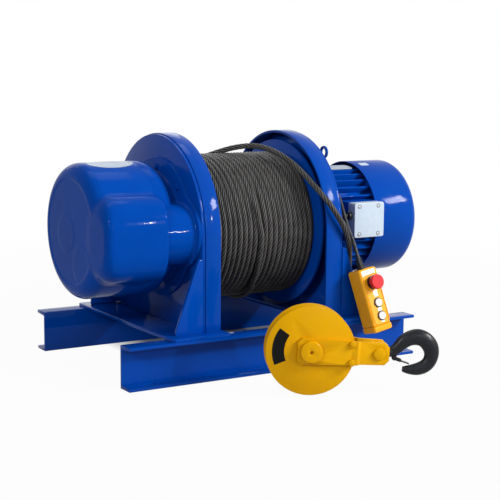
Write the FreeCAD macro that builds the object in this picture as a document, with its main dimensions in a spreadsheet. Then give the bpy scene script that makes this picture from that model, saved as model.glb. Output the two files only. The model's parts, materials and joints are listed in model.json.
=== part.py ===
import FreeCAD, Part
import math
import os
import Sketcher

# Electric rope winch with its pendant switch and hook block.
# Millimetres. X runs along the drum shaft towards the motor, -Y is the front, +Z is up.
# The origin is the centre of the four floor bolts, on the floor.

Vector = FreeCAD.Vector
doc = FreeCAD.newDocument("electric_winch")
sheet = doc.addObject("Spreadsheet::Sheet", "sizes")
PARTS = []


class Size:
    """A length that knows its number and the sheet expression that gives it."""

    def __init__(self, value, text):
        self.value = float(value)
        self.text = text

    def __float__(self):
        return self.value

    def joined(self, other, sign, flip=False):
        other = other if isinstance(other, Size) else Size(other, repr(float(other)))
        left, right = (other, self) if flip else (self, other)
        value = {
            "+": left.value + right.value,
            "-": left.value - right.value,
            "*": left.value * right.value,
            "/": left.value / right.value if right.value else 0.0,
        }[sign]
        return Size(value, "(" + left.text + " " + sign + " " + right.text + ")")

    def __add__(self, other):
        return self.joined(other, "+")

    def __sub__(self, other):
        return self.joined(other, "-")

    def __mul__(self, other):
        return self.joined(other, "*")

    def __truediv__(self, other):
        return self.joined(other, "/")

    def __radd__(self, other):
        return self.joined(other, "+", True)

    def __rsub__(self, other):
        return self.joined(other, "-", True)

    def __rmul__(self, other):
        return self.joined(other, "*", True)

    def __neg__(self):
        return Size(-self.value, "(-1 * " + self.text + ")")


def cell(alias, value):
    """Writes one driving dimension into the sheet and returns it."""
    row = cell.row
    cell.row = row + 1
    sheet.set("A" + str(row), alias.replace("_", " "))
    sheet.set("B" + str(row), str(value))
    sheet.setAlias("B" + str(row), alias)
    return Size(value, "sizes." + alias)


cell.row = 1

# Base frame: two channels with their flanges outwards, and two plates across them
beam_length = cell("beam_length", 800)
beam_height = cell("beam_height", 100)
beam_flange = cell("beam_flange", 46)
beam_web = cell("beam_web", 5.3)
flange_tip = cell("flange_tip", 7)
flange_root = cell("flange_root", 9.5)
beam_back = cell("beam_back", 218)
bolt_span = cell("bolt_span", 660)
bolt_hole_radius = cell("bolt_hole_radius", 7)
bolt_inset = cell("bolt_inset", 21)
plate_thick = cell("plate_thick", 8)
plate_half_width = cell("plate_half_width", 262)
base_plate_in = cell("base_plate_in", 138)
base_plate_out = cell("base_plate_out", 288)

# End plates, their bent guard strips and gussets
axis_height = cell("axis_height", 325)
end_plate_x = cell("end_plate_x", 188.5)
end_plate_radius = cell("end_plate_radius", 231)
end_plate_hole = cell("end_plate_hole", 80.5)
strip_radius = cell("strip_radius", 233.6)
strip_thick = cell("strip_thick", 6)
strip_width = cell("strip_width", 40)
gusset_base = cell("gusset_base", 70)
gusset_rise = cell("gusset_rise", 173)

# Drum and the rope wound on it
drum_half = cell("drum_half", 150)
barrel_radius = cell("barrel_radius", 109.5)
barrel_wall = cell("barrel_wall", 8)
drum_flange_radius = cell("drum_flange_radius", 210)
drum_flange_thick = cell("drum_flange_thick", 8)
pack_radius = cell("pack_radius", 181)
rope_diameter = cell("rope_diameter", 14)
stub_radius = cell("stub_radius", 37.5)
stub_bore = cell("stub_bore", 26)
stub_reach_left = cell("stub_reach_left", 288)
stub_reach_right = cell("stub_reach_right", 187)

# Drum bearings and their hubs
bearing_radius = cell("bearing_radius", 65)
bearing_width = cell("bearing_width", 25)
hub_radius = cell("hub_radius", 80)
hub_flange_radius = cell("hub_flange_radius", 102)
running_gap = cell("running_gap", 0.05)

# Gearbox casing: a round body with a lobe to the front
case_y = cell("case_y", -22)
case_z = cell("case_z", 335)
case_radius = cell("case_radius", 160)
case_corner = cell("case_corner", 29)
case_wall = cell("case_wall", 8)
case_face_x = cell("case_face_x", 434)
case_split_x = cell("case_split_x", 278)
case_neck_x = cell("case_neck_x", 246)
case_neck_radius = cell("case_neck_radius", 128)
case_flange_radius = cell("case_flange_radius", 168)
case_flange_thick = cell("case_flange_thick", 9)
lobe_y = cell("lobe_y", -147)
lobe_radius = cell("lobe_radius", 76)
lobe_corner = cell("lobe_corner", 15)
lobe_flange_radius = cell("lobe_flange_radius", 84)

# Gear train: module, teeth and face width of each pair
slow_module = cell("slow_module", 3.5)
slow_pinion_teeth = cell("slow_pinion_teeth", 18)
slow_wheel_teeth = cell("slow_wheel_teeth", 66)
middle_module = cell("middle_module", 3)
middle_pinion_teeth = cell("middle_pinion_teeth", 13)
middle_wheel_teeth = cell("middle_wheel_teeth", 41)
fast_module = cell("fast_module", 2.5)
fast_pinion_teeth = cell("fast_pinion_teeth", 14)
fast_wheel_teeth = cell("fast_wheel_teeth", 60)
tooth_play = cell("tooth_play", 0.35)
wheel_bore = cell("wheel_bore", 15)
slow_wheel_x = cell("slow_wheel_x", 258)
slow_wheel_width = cell("slow_wheel_width", 28)
middle_wheel_x = cell("middle_wheel_x", 312)
middle_wheel_width = cell("middle_wheel_width", 22)
fast_wheel_x = cell("fast_wheel_x", 344)
fast_wheel_width = cell("fast_wheel_width", 18)
pinion_extra = cell("pinion_extra", 4)
inner_plate_x = cell("inner_plate_x", 292)
inner_plate_thick = cell("inner_plate_thick", 15)
shaft_radius = cell("shaft_radius", 12.5)
small_bearing_radius = cell("small_bearing_radius", 26)
small_bearing_width = cell("small_bearing_width", 15)
lid_bearing_x = cell("lid_bearing_x", 412)
boss_wall = cell("boss_wall", 8)

# Motor
motor_shaft_radius = cell("motor_shaft_radius", 17)
shield_flange_radius = cell("shield_flange_radius", 122)
frame_front_x = cell("frame_front_x", 226)
frame_back_x = cell("frame_back_x", 372)
frame_radius = cell("frame_radius", 116)
frame_bore = cell("frame_bore", 104)
fin_radius = cell("fin_radius", 137)
fin_thick = cell("fin_thick", 4)
fin_count = cell("fin_count", 36)
rear_shield_thick = cell("rear_shield_thick", 20)
stator_bore = cell("stator_bore", 66)
stator_length = cell("stator_length", 112)
rotor_gap = cell("rotor_gap", 0.5)
motor_bearing_radius = cell("motor_bearing_radius", 40)
motor_bearing_width = cell("motor_bearing_width", 18)
cover_radius = cell("cover_radius", 147)
cover_corner = cell("cover_corner", 24)
cover_wall = cell("cover_wall", 2.5)
cover_front_x = cell("cover_front_x", 365)
cover_back_x = cell("cover_back_x", 501)
grille_slots = cell("grille_slots", 12)
fan_radius = cell("fan_radius", 120)
fan_width = cell("fan_width", 30)
fan_front_x = cell("fan_front_x", 446)
disc_radius = cell("disc_radius", 88)
disc_thick = cell("disc_thick", 10)
armature_thick = cell("armature_thick", 7)
magnet_thick = cell("magnet_thick", 26)
magnet_gap = cell("magnet_gap", 1)
brake_clearance = cell("brake_clearance", 0.3)
eye_ring_radius = cell("eye_ring_radius", 13)
eye_wire_radius = cell("eye_wire_radius", 4)
eye_x = cell("eye_x", 298)
eye_height = cell("eye_height", 498)

# Terminal box on the front of the motor
box_left = cell("box_left", 268)
box_width = cell("box_width", 92)
box_bottom = cell("box_bottom", 294)
box_height = cell("box_height", 88)
box_front = cell("box_front", 183)
box_depth = cell("box_depth", 28)
box_lid_thick = cell("box_lid_thick", 7)
gland_radius = cell("gland_radius", 10)
gland_length = cell("gland_length", 10)
cable_diameter = cell("cable_diameter", 9)
wire_diameter = cell("wire_diameter", 3)

# Pendant switch
pendant_width = cell("pendant_width", 54)
pendant_depth = cell("pendant_depth", 51)
pendant_length = cell("pendant_length", 145)
pendant_corner = cell("pendant_corner", 7)
face_thick = cell("face_thick", 6)
stop_radius = cell("stop_radius", 18)
stop_thick = cell("stop_thick", 11)
stop_lift = cell("stop_lift", 13)
stop_stem = cell("stop_stem", 11)
stop_drop = cell("stop_drop", 37)
button_radius = cell("button_radius", 9.5)
button_lift = cell("button_lift", 5)
upper_button_drop = cell("upper_button_drop", 88)
lower_button_drop = cell("lower_button_drop", 121)
button_side = cell("button_side", 4)
button_play = cell("button_play", 0.08)

# Hook block, standing on the rims of its two cover discs
sheave_cover_radius = cell("sheave_cover_radius", 100)
sheave_cover_thick = cell("sheave_cover_thick", 4)
sheave_cover_gap = cell("sheave_cover_gap", 17)
sheave_radius = cell("sheave_radius", 87)
sheave_width = cell("sheave_width", 30)
pin_radius = cell("pin_radius", 15)
pin_head_radius = cell("pin_head_radius", 24.5)
pin_head_thick = cell("pin_head_thick", 10)
strap_thick = cell("strap_thick", 8)
strap_back_width = cell("strap_back_width", 59)
strap_front_width = cell("strap_front_width", 50)
strap_back = cell("strap_back", 30)
strap_bend = cell("strap_bend", 101)
strap_reach = cell("strap_reach", 177)
strap_joggle = cell("strap_joggle", 8)
crosshead_x = cell("crosshead_x", 155)
crosshead_length = cell("crosshead_length", 38)
crosshead_height = cell("crosshead_height", 40)
crosshead_bolt = cell("crosshead_bolt", 13.5)
bowl_x = cell("bowl_x", 242.5)
tie_radius = cell("tie_radius", 4.5)
nut_length = cell("nut_length", 18)

# Places that are looked up once
BLOCK_PLACE = Vector(-53.6, -461, 0)
BLOCK_TURN = -26.0
BLOCK_SLOPE = 3.4
PENDANT_PLACE = Vector(234.5, -284.0, 235.0)
PENDANT_YAW = -0.9
PENDANT_LEAN = -13.9
PENDANT_TILT = -10.3

PI = math.pi
SCREW_LENGTH = 9.0
SCREW_HOLE = 4.5


def keep(item, label):
    """Names a finished sub-part, which also names its file."""
    item.Label = label
    PARTS.append(item)
    return item


def bind(item, name, size):
    """Ties one property to the sheet when it comes from it."""
    if isinstance(size, Size):
        item.setExpression(name, size.text)
    else:
        setattr(item, name, size)


def put(item, x=0, y=0, z=0, turn=None):
    """Places a sub-part, each coordinate tied to the sheet."""
    place = Vector(float(x), float(y), float(z))
    item.Placement = FreeCAD.Placement(place, turn or FreeCAD.Rotation())
    for name, size in (("x", x), ("y", y), ("z", z)):
        if isinstance(size, Size):
            item.setExpression("Placement.Base." + name, size.text)


def new_body(label):
    return keep(doc.addObject("PartDesign::Body", label), label)


def new_sketch(body, role, name):
    """A sketch on one of the body's own origin planes."""
    plane = [item for item in body.Origin.OriginFeatures if item.Role == role][0]
    sketch = body.newObject("Sketcher::SketchObject", name)
    sketch.AttachmentSupport = [(plane, "")]
    sketch.MapMode = "FlatFace"
    return sketch


def pin_point(sketch, edge, point, u, v):
    """Fixes one sketch point at two sheet-bound coordinates."""
    for kind, size in (("DistanceX", u), ("DistanceY", v)):
        if size is None:
            continue
        index = sketch.addConstraint(Sketcher.Constraint(kind, -1, 1, edge, point, float(size)))
        if isinstance(size, Size):
            sketch.setExpression("Constraints[" + str(index) + "]", size.text)


def draw_loop(sketch, points):
    """A closed outline of straight edges through sheet-bound points."""
    first = sketch.GeometryCount
    count = len(points)
    for index in range(count):
        start = points[index]
        end = points[(index + 1) % count]
        start = Vector(float(start[0]), float(start[1]), 0)
        end = Vector(float(end[0]), float(end[1]), 0)
        sketch.addGeometry(Part.LineSegment(start, end))
    for index in range(count):
        following = first + (index + 1) % count
        sketch.addConstraint(Sketcher.Constraint("Coincident", first + index, 2, following, 1))
        pin_point(sketch, first + index, 1, points[index][0], points[index][1])


def draw_circle(sketch, u, v, radius):
    circle = Part.Circle(Vector(float(u), float(v), 0), Vector(0, 0, 1), float(radius))
    edge = sketch.addGeometry(circle)
    pin_point(sketch, edge, 3, u, v)
    index = sketch.addConstraint(Sketcher.Constraint("Radius", edge, float(radius)))
    if isinstance(radius, Size):
        sketch.setExpression("Constraints[" + str(index) + "]", radius.text)


def draw_arch(sketch, radius, centre_v, foot_v):
    """A round-topped outline: half a circle on two straight legs, without its foot line."""
    middle = Vector(0, float(centre_v), 0)
    circle = Part.Circle(middle, Vector(0, 0, 1), float(radius))
    arc = sketch.addGeometry(Part.ArcOfCircle(circle, 0, PI))
    low = float(foot_v)
    high = float(centre_v)
    reach = float(radius)
    leg_right = sketch.addGeometry(Part.LineSegment(Vector(reach, low, 0), Vector(reach, high, 0)))
    leg_left = sketch.addGeometry(Part.LineSegment(Vector(-reach, high, 0), Vector(-reach, low, 0)))
    pin_point(sketch, arc, 3, 0, centre_v)
    pin_point(sketch, arc, 1, radius, centre_v)
    pin_point(sketch, arc, 2, None, centre_v)
    sketch.addConstraint(Sketcher.Constraint("Coincident", leg_right, 2, arc, 1))
    sketch.addConstraint(Sketcher.Constraint("Coincident", arc, 2, leg_left, 1))
    sketch.addConstraint(Sketcher.Constraint("Vertical", leg_right))
    sketch.addConstraint(Sketcher.Constraint("Vertical", leg_left))
    pin_point(sketch, leg_right, 1, None, foot_v)
    pin_point(sketch, leg_left, 2, None, foot_v)
    return leg_left, leg_right


def pad(body, sketch, length, name="pad", reverse=False):
    feature = body.newObject("PartDesign::Pad", name)
    feature.Profile = sketch
    feature.Reversed = reverse
    bind(feature, "Length", length)
    sketch.Visibility = False
    return feature


def pocket(body, sketch, length, name="pocket", reverse=False):
    feature = body.newObject("PartDesign::Pocket", name)
    feature.Profile = sketch
    feature.Type = 0
    feature.Reversed = reverse
    bind(feature, "Length", length)
    return feature


def turned(label, points):
    """A body turned about the X axis from (along, radius) points."""
    body = new_body(label)
    sketch = new_sketch(body, "XY_Plane", label + "_outline")
    draw_loop(sketch, points)
    feature = body.newObject("PartDesign::Revolution", label + "_turned")
    feature.Profile = sketch
    feature.ReferenceAxis = (sketch, ["H_Axis"])
    feature.Angle = 360
    return body


def polar(body, feature, sketch, count, name):
    """Repeats a feature about the X axis, with the count tied to the sheet."""
    pattern = body.newObject("PartDesign::PolarPattern", name)
    pattern.Originals = [feature]
    pattern.Axis = (sketch, ["H_Axis"])
    pattern.Angle = 360
    bind(pattern, "Occurrences", count)
    body.Tip = pattern
    return pattern


def shaped(label, shape, place=None):
    """A sub-part whose shape comes from Part's own functions and the sheet's values."""
    item = doc.addObject("Part::Feature", label)
    item.Shape = shape
    if place:
        item.Placement = place
    return keep(item, label)


def rod(x0, x1, radius, y=0.0, z=0.0):
    """A plain cylinder along X."""
    start = Vector(float(x0), float(y), float(z))
    return Part.makeCylinder(float(radius), float(x1) - float(x0), start, Vector(1, 0, 0))


def tube(x0, x1, outer, inner, y=0.0, z=0.0):
    return rod(x0, x1, outer, y, z).cut(rod(x0, x1, inner, y, z))


def lathe(points, y=0.0, z=0.0):
    """A solid turned about an X-wise line through (y, z) from (along, radius) points."""
    outline = [Vector(float(along), float(y) + float(radius), float(z)) for along, radius in points]
    face = Part.Face(Part.makePolygon(outline + outline[:1]))
    return face.revolve(Vector(0, float(y), float(z)), Vector(1, 0, 0), 360)


def block(x0, x1, y0, y1, z0, z1):
    corner = Vector(float(x0), float(y0), float(z0))
    return Part.makeBox(float(x1) - float(x0), float(y1) - float(y0), float(z1) - float(z0), corner)


def hex_screw(tip_x, seat_x, radius, head_radius, head_thick, y, z):
    """A screw along X: its shank from tip to seat, and a hexagon head beyond the seat."""
    side = 1.0 if seat_x > tip_x else -1.0
    shank = rod(min(tip_x, seat_x), max(tip_x, seat_x), radius, y, z)
    corners = []
    for step in range(6):
        angle = step * PI / 3
        corners.append(Vector(seat_x, y + head_radius * math.cos(angle), z + head_radius * math.sin(angle)))
    head = Part.Face(Part.makePolygon(corners + corners[:1])).extrude(Vector(side * head_thick, 0, 0))
    return shank.fuse(head)


def flip():
    """Half a turn about Z, for the opposite one of a pair."""
    return FreeCAD.Rotation(Vector(0, 0, 1), 180)


# The base


def make_beam(label, turn):
    """A rolled channel: web inside, tapered flanges outwards, and a bolt hole near each end."""
    body = new_body(label)
    sketch = new_sketch(body, "YZ_Plane", label + "_section")
    tip = beam_back + beam_flange
    root = beam_back + beam_web
    top = beam_height
    outline = [
        (-beam_back, 0),
        (-tip, 0),
        (-tip, flange_tip),
        (-root, flange_root),
        (-root, top - flange_root),
        (-tip, top - flange_tip),
        (-tip, top),
        (-beam_back, top),
    ]
    draw_loop(sketch, outline)
    pad(body, sketch, beam_length, label + "_length")
    doc.recompute()
    holes = new_sketch(body, "XY_Plane", label + "_bolt_holes")
    for side in (-1, 1):
        draw_circle(holes, beam_length / 2 + side * bolt_span / 2, -tip + bolt_inset, bolt_hole_radius)
    pocket(body, holes, flange_root * 1.5, label + "_drilled", True)
    put(body, -beam_length / 2 if not turn else beam_length / 2, 0, 0, flip() if turn else None)


make_beam("beam_front", False)
make_beam("beam_rear", True)


def make_base_plates():
    """Two plates across the channels, welded under the end plates."""
    plates = []
    for side in (-1, 1):
        ends = sorted((side * float(base_plate_in), side * float(base_plate_out)))
        half = float(plate_half_width)
        top = float(beam_height + plate_thick)
        plate = block(ends[0], ends[1], -half, half, beam_height, top)
        corners = [edge for edge in plate.Edges if abs(edge.tangentAt(edge.FirstParameter).z) > 0.9]
        outer = [edge for edge in corners if abs(edge.Vertexes[0].X) > float(base_plate_out) - 1]
        plates.append(plate.makeChamfer(6, outer))
    shaped("base_plates", Part.makeCompound(plates))


make_base_plates()


def doubled(body, feature, sketch, distance, name):
    """Repeats a pad once along X, so that one body holds both of a pair."""
    body.AllowCompound = True
    pattern = body.newObject("PartDesign::LinearPattern", name)
    pattern.Originals = [feature]
    pattern.Direction = (sketch, ["N_Axis"])
    pattern.Length = float(distance)
    pattern.setExpression("Length", distance.text)
    pattern.Occurrences = 2
    body.Tip = pattern


def make_end_plates():
    """Two round-topped plates with the drum hub's hole."""
    body = new_body("end_plates")
    foot = beam_height + plate_thick
    sketch = new_sketch(body, "YZ_Plane", "end_plate_outline")
    left, right = draw_arch(sketch, end_plate_radius, axis_height, foot)
    low = float(foot)
    reach = float(end_plate_radius)
    base = sketch.addGeometry(Part.LineSegment(Vector(-reach, low, 0), Vector(reach, low, 0)))
    sketch.addConstraint(Sketcher.Constraint("Coincident", base, 1, left, 2))
    sketch.addConstraint(Sketcher.Constraint("Coincident", base, 2, right, 1))
    draw_circle(sketch, 0, axis_height, end_plate_hole)
    plate = pad(body, sketch, plate_thick, "end_plate_thickness")
    doubled(body, plate, sketch, end_plate_x * 2 + plate_thick, "end_plate_pair")
    put(body, -(end_plate_x + plate_thick), 0, 0)


make_end_plates()


def make_guard_strips():
    """Two flat bars bent over the drum, against the insides of the end plates."""
    body = new_body("guard_strips")
    foot = beam_height + plate_thick
    sketch = new_sketch(body, "YZ_Plane", "guard_strip_outline")
    outer_left, outer_right = draw_arch(sketch, strip_radius, axis_height, foot)
    inner_left, inner_right = draw_arch(sketch, strip_radius - strip_thick, axis_height, foot)
    outer_reach = float(strip_radius)
    inner_reach = float(strip_radius - strip_thick)
    low = float(foot)
    for outer, inner, point, sign in ((outer_left, inner_left, 2, -1), (outer_right, inner_right, 1, 1)):
        foot_line = Part.LineSegment(Vector(sign * outer_reach, low, 0), Vector(sign * inner_reach, low, 0))
        edge = sketch.addGeometry(foot_line)
        sketch.addConstraint(Sketcher.Constraint("Coincident", edge, 1, outer, point))
        sketch.addConstraint(Sketcher.Constraint("Coincident", edge, 2, inner, point))
    strip = pad(body, sketch, strip_width, "guard_strip_width")
    doubled(body, strip, sketch, end_plate_x * 2 - strip_width, "guard_strip_pair")
    put(body, -end_plate_x, 0, 0)


make_guard_strips()


def make_gussets():
    """Four triangular stiffeners outside the end plates."""
    gussets = []
    foot = float(beam_height + plate_thick)
    start = float(end_plate_x + plate_thick)
    reach = start + float(gusset_base)
    peak = foot + float(gusset_rise)
    toe = 10.0
    for side in (-1, 1):
        for front in (-1, 1):
            y = front * float(strip_radius)
            outline = [
                Vector(side * start, y, foot),
                Vector(side * reach, y, foot),
                Vector(side * reach, y, foot + toe),
                Vector(side * (start + toe), y, peak),
                Vector(side * start, y, peak),
            ]
            face = Part.Face(Part.makePolygon(outline + outline[:1]))
            gussets.append(face.extrude(Vector(0, -front * float(plate_thick), 0)))
    shaped("gussets", Part.makeCompound(gussets))


make_gussets()

# The gearbox casing


def lobed(x0, x1, round_radius, front_radius):
    """The casing's outline, a round body and a front lobe, as a prism along X."""
    body = rod(x0, x1, round_radius, case_y, case_z)
    lobe = rod(x0, x1, front_radius, lobe_y, case_z)
    return body.fuse(lobe)


def rounded_end(face_x, open_x, radius, corner, centre_y):
    """A cylinder whose face at face_x has a rounded edge."""
    solid = rod(face_x, open_x, radius, centre_y, case_z)
    rim = [edge for edge in solid.Edges if edge.BoundBox.XLength < 0.01]
    rim = [edge for edge in rim if abs(edge.BoundBox.XMin - float(face_x)) < 0.01]
    return solid.makeFillet(float(corner), rim)


def shaft_places():
    """Where the two lay shafts lie, from the centre distances of the three gear pairs."""
    slow = float(slow_module) * float(slow_pinion_teeth + slow_wheel_teeth) / 2
    middle = float(middle_module) * float(middle_pinion_teeth + middle_wheel_teeth) / 2
    fast = float(fast_module) * float(fast_pinion_teeth + fast_wheel_teeth) / 2
    drum = Vector(0, 0, float(axis_height))
    rise = float(case_z) - float(axis_height)
    lay = Vector(0, -math.sqrt(slow ** 2 - rise ** 2), float(case_z))
    line = Vector(lay - drum)
    line.normalize()
    along = (fast ** 2 - middle ** 2 + slow ** 2) / (2 * slow)
    across = math.sqrt(fast ** 2 - along ** 2)
    between = drum + line * along + Vector(0, line.z, -line.y) * across
    return drum, between, lay


DRUM_AXIS, MIDDLE_AXIS, LAY_AXIS = shaft_places()
PLATE_FACE = float(end_plate_x + plate_thick)


def around(count, radius, start, y=0.0, z=None):
    """Places evenly round a circle that faces along X."""
    z = float(axis_height) if z is None else z
    angles = [start + step * 2 * PI / count for step in range(count)]
    return [(y + radius * math.cos(angle), z + radius * math.sin(angle)) for angle in angles]


FOOT_CIRCLE = float(case_flange_radius) - 15
FOOT_SCREWS = around(8, FOOT_CIRCLE, PI / 4, float(case_y), float(case_z))
FOOT_SCREWS = [place for place in FOOT_SCREWS if place[0] > float(lobe_y) + float(lobe_radius) - 5]
LUG_ANGLES = (math.radians(118), math.radians(62), math.radians(-62), math.radians(-125))
LUG_CIRCLE = float(case_radius) + 9
LUG_WAYS = [(math.cos(angle), math.sin(angle)) for angle in LUG_ANGLES]
LUG_SCREWS = [(float(case_y) + LUG_CIRCLE * y, float(case_z) + LUG_CIRCLE * z) for y, z in LUG_WAYS]
LUG_RADIUS = 11.0
HUB_SCREWS = around(6, float(hub_radius + hub_flange_radius) / 2, PI / 6)
SHIELD_SCREWS = around(6, float(shield_flange_radius) - 8, PI / 6)


def make_housing():
    """The casing half that bolts to the left end plate."""
    split = -float(case_split_x)
    neck = -float(case_neck_x)
    flange_end = -PLATE_FACE - float(case_flange_thick)
    wall = float(case_wall)
    flange = lobed(flange_end, -PLATE_FACE, case_flange_radius, lobe_flange_radius)
    barrel = lobed(split, neck, case_radius, lobe_radius)
    throat = lobed(neck, -PLATE_FACE, case_neck_radius, lobe_radius)
    lugs = [rod(split, split + 18, LUG_RADIUS, y, z) for y, z in LUG_SCREWS]
    solid = flange.fuse([barrel, throat] + lugs)
    room = lobed(split, flange_end - 2, float(case_neck_radius) - wall, float(lobe_radius) - wall)
    gear_room = lobed(split, neck - wall, float(case_radius) - wall, float(lobe_radius) - wall)
    solid = solid.cut(room.fuse(gear_room))
    solid = solid.cut(rod(-300, 0, float(hub_radius) + 0.5, 0, axis_height))
    seat = -PLATE_FACE - 9
    bearing_end = seat - float(small_bearing_width)
    boss_radius = float(small_bearing_radius) + float(boss_wall)
    collar = rod(bearing_end, -PLATE_FACE, boss_radius, LAY_AXIS.y, LAY_AXIS.z)
    collar = collar.cut(rod(-300, 0, float(hub_radius) + 0.5, 0, axis_height))
    solid = solid.fuse(collar)
    solid = solid.cut(rod(bearing_end - 1, seat, small_bearing_radius, LAY_AXIS.y, LAY_AXIS.z))
    for y, z in FOOT_SCREWS:
        solid = solid.cut(rod(flange_end - 1, -PLATE_FACE + 1, SCREW_HOLE, y, z))
    return solid


def make_lid():
    """The casing's deep cover, with rounded edges, bearing bosses inside and screw lugs."""
    face = -float(case_face_x)
    split = -float(case_split_x)
    wall = float(case_wall)
    solid = rounded_end(face, split, case_radius, case_corner, case_y)
    solid = solid.fuse(rounded_end(face, split, lobe_radius, lobe_corner, lobe_y))
    lugs = [rod(split - SCREW_LENGTH, split, LUG_RADIUS, y, z) for y, z in LUG_SCREWS]
    solid = solid.fuse(lugs)
    for radius, corner, centre in ((lobe_radius, lobe_corner, lobe_y), (case_radius, case_corner, case_y)):
        room = rounded_end(face + wall, split, float(radius) - wall, float(corner) - wall, centre)
        solid = solid.cut(room)
    boss_end = -float(lid_bearing_x) + float(small_bearing_width)
    for axis in (DRUM_AXIS, MIDDLE_AXIS):
        boss = rod(face + wall / 2, boss_end, float(small_bearing_radius) + float(boss_wall), axis.y, axis.z)
        solid = solid.fuse(boss)
    for axis in (DRUM_AXIS, MIDDLE_AXIS):
        solid = solid.cut(rod(-float(lid_bearing_x), boss_end + 1, small_bearing_radius, axis.y, axis.z))
    for y, z in LUG_SCREWS:
        solid = solid.cut(rod(split - SCREW_LENGTH - 1, split + 1, SCREW_HOLE, y, z))
    return solid


def make_inner_plate():
    """The plate inside the lid that carries the ends of both lay shafts."""
    x0 = -float(inner_plate_x) - float(inner_plate_thick)
    x1 = -float(inner_plate_x)
    wall = float(case_wall)
    solid = lobed(x0, x1, float(case_radius) - wall, float(lobe_radius) - wall)
    for axis in (MIDDLE_AXIS, LAY_AXIS):
        solid = solid.cut(rod(x0 - 1, x1 + 1, small_bearing_radius, axis.y, axis.z))
    return solid.cut(rod(x0 - 1, x1 + 1, 24, DRUM_AXIS.y, DRUM_AXIS.z))


shaped("gearbox_housing", make_housing())
shaped("gearbox_lid", make_lid())
shaped("gearbox_inner_plate", make_inner_plate())


def make_flange_screws():
    """All the M8 screws of the casing's foot, its lid, the drum hubs and the motor."""
    radius = SCREW_HOLE - 0.5
    head = (7.3, 5.3)
    screws = []
    foot = -PLATE_FACE
    for y, z in FOOT_SCREWS:
        screws.append(hex_screw(foot, foot - SCREW_LENGTH, radius, head[0], head[1], y, z))
    split = -float(case_split_x)
    for y, z in LUG_SCREWS:
        screws.append(hex_screw(split, split - SCREW_LENGTH, radius, head[0], head[1], y, z))
    inner = float(end_plate_x)
    for side in (-1, 1):
        seat = side * (inner - SCREW_LENGTH)
        for y, z in HUB_SCREWS:
            screws.append(hex_screw(side * inner, seat, radius, head[0], head[1], y, z))
    for y, z in SHIELD_SCREWS:
        screws.append(hex_screw(PLATE_FACE, PLATE_FACE + SCREW_LENGTH, radius, head[0], head[1], y, z))
    return Part.makeCompound(screws)


shaped("flange_screws", make_flange_screws())

# The drum, its bearings and their hubs


def make_hub(side):
    """A bearing hub through one end plate, bolted on by its flange inside."""
    inner = float(end_plate_x) - SCREW_LENGTH
    seat = float(end_plate_x)
    bearing_start = seat - float(bearing_width)
    outline = [
        (bearing_start, bearing_radius),
        (bearing_start, hub_radius),
        (inner, hub_radius),
        (inner, hub_flange_radius),
        (seat, hub_flange_radius),
        (seat, hub_radius),
        (PLATE_FACE, hub_radius),
        (PLATE_FACE, bearing_radius - 20),
        (seat, bearing_radius - 20),
        (seat, bearing_radius),
    ]
    hub = lathe([(side * along, radius) for along, radius in outline], 0, axis_height)
    for y, z in HUB_SCREWS:
        hub = hub.cut(rod(side * seat - 20, side * seat + 20, SCREW_HOLE, y, z))
    return hub


def make_bearing(x0, width, bore, outer, y, z):
    """A closed ball bearing, with a shallow ring groove for the seal on both faces."""
    mid = (float(bore) + float(outer)) / 2
    half = (float(outer) - float(bore)) / 5
    depth = 0.8
    x1 = float(x0) + float(width)
    outline = [
        (x0, bore),
        (x0, mid - half),
        (x0 + depth, mid - half),
        (x0 + depth, mid + half),
        (x0, mid + half),
        (x0, outer),
        (x1, outer),
        (x1, mid + half),
        (x1 - depth, mid + half),
        (x1 - depth, mid - half),
        (x1, mid - half),
        (x1, bore),
    ]
    return lathe(outline, y, z)


shaped("bearing_hubs", Part.makeCompound([make_hub(side) for side in (-1, 1)]))
drum_bearing_bore = float(stub_radius) + float(running_gap)
bearing_near = float(end_plate_x) - float(bearing_width)
drum_bearings = [
    make_bearing(start, bearing_width, drum_bearing_bore, bearing_radius, 0, axis_height)
    for start in (bearing_near, -float(end_plate_x))
]
shaped("drum_bearings", Part.makeCompound(drum_bearings))

turned("drum_barrel", [
    (-drum_half, barrel_radius - barrel_wall),
    (-drum_half, barrel_radius),
    (drum_half, barrel_radius),
    (drum_half, barrel_radius - barrel_wall),
])
put(PARTS[-1], 0, 0, axis_height)


def make_drum_head(label, side, reach):
    """One end of the drum: the rope flange and the hollow stub shaft it turns on."""
    flange_end = drum_half + drum_flange_thick
    outline = [
        (drum_half, stub_bore),
        (drum_half, drum_flange_radius),
        (flange_end, drum_flange_radius),
        (flange_end, stub_radius + 6),
        (flange_end + 3, stub_radius + 6),
        (flange_end + 3, stub_radius),
        (reach, stub_radius),
        (reach, stub_bore),
    ]
    body = turned(label, [(side * along, radius) for along, radius in outline])
    put(body, 0, 0, axis_height)


make_drum_head("drum_head_left", -1, stub_reach_left)
make_drum_head("drum_head_right", 1, stub_reach_right)


def make_rope_pack():
    """The layers of rope on the drum as one sleeve, with its outer turns as rounded ribs."""
    half = float(drum_half) - 0.3
    pitch = 2 * half / 21
    outer = float(pack_radius)
    outline = [(-half, float(barrel_radius))]
    for turn in range(21):
        start = -half + turn * pitch
        outline.append((start, outer - 3))
        outline.append((start + pitch * 0.3, outer))
        outline.append((start + pitch * 0.7, outer))
    outline.append((half, outer - 3))
    outline.append((half, float(barrel_radius)))
    return lathe(outline, 0, axis_height)


shaped("rope_pack", make_rope_pack())

# The gears


def flank_half_angle(radius, pitch_radius, teeth, thickness):
    """Half the angle one tooth takes up at a radius, for a 20 degree involute."""
    pressure = math.radians(20)
    base = pitch_radius * math.cos(pressure)
    slope = math.acos(min(1.0, base / radius))
    spread = math.tan(pressure) - pressure - (math.tan(slope) - slope)
    return thickness / (2 * pitch_radius) + spread


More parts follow.
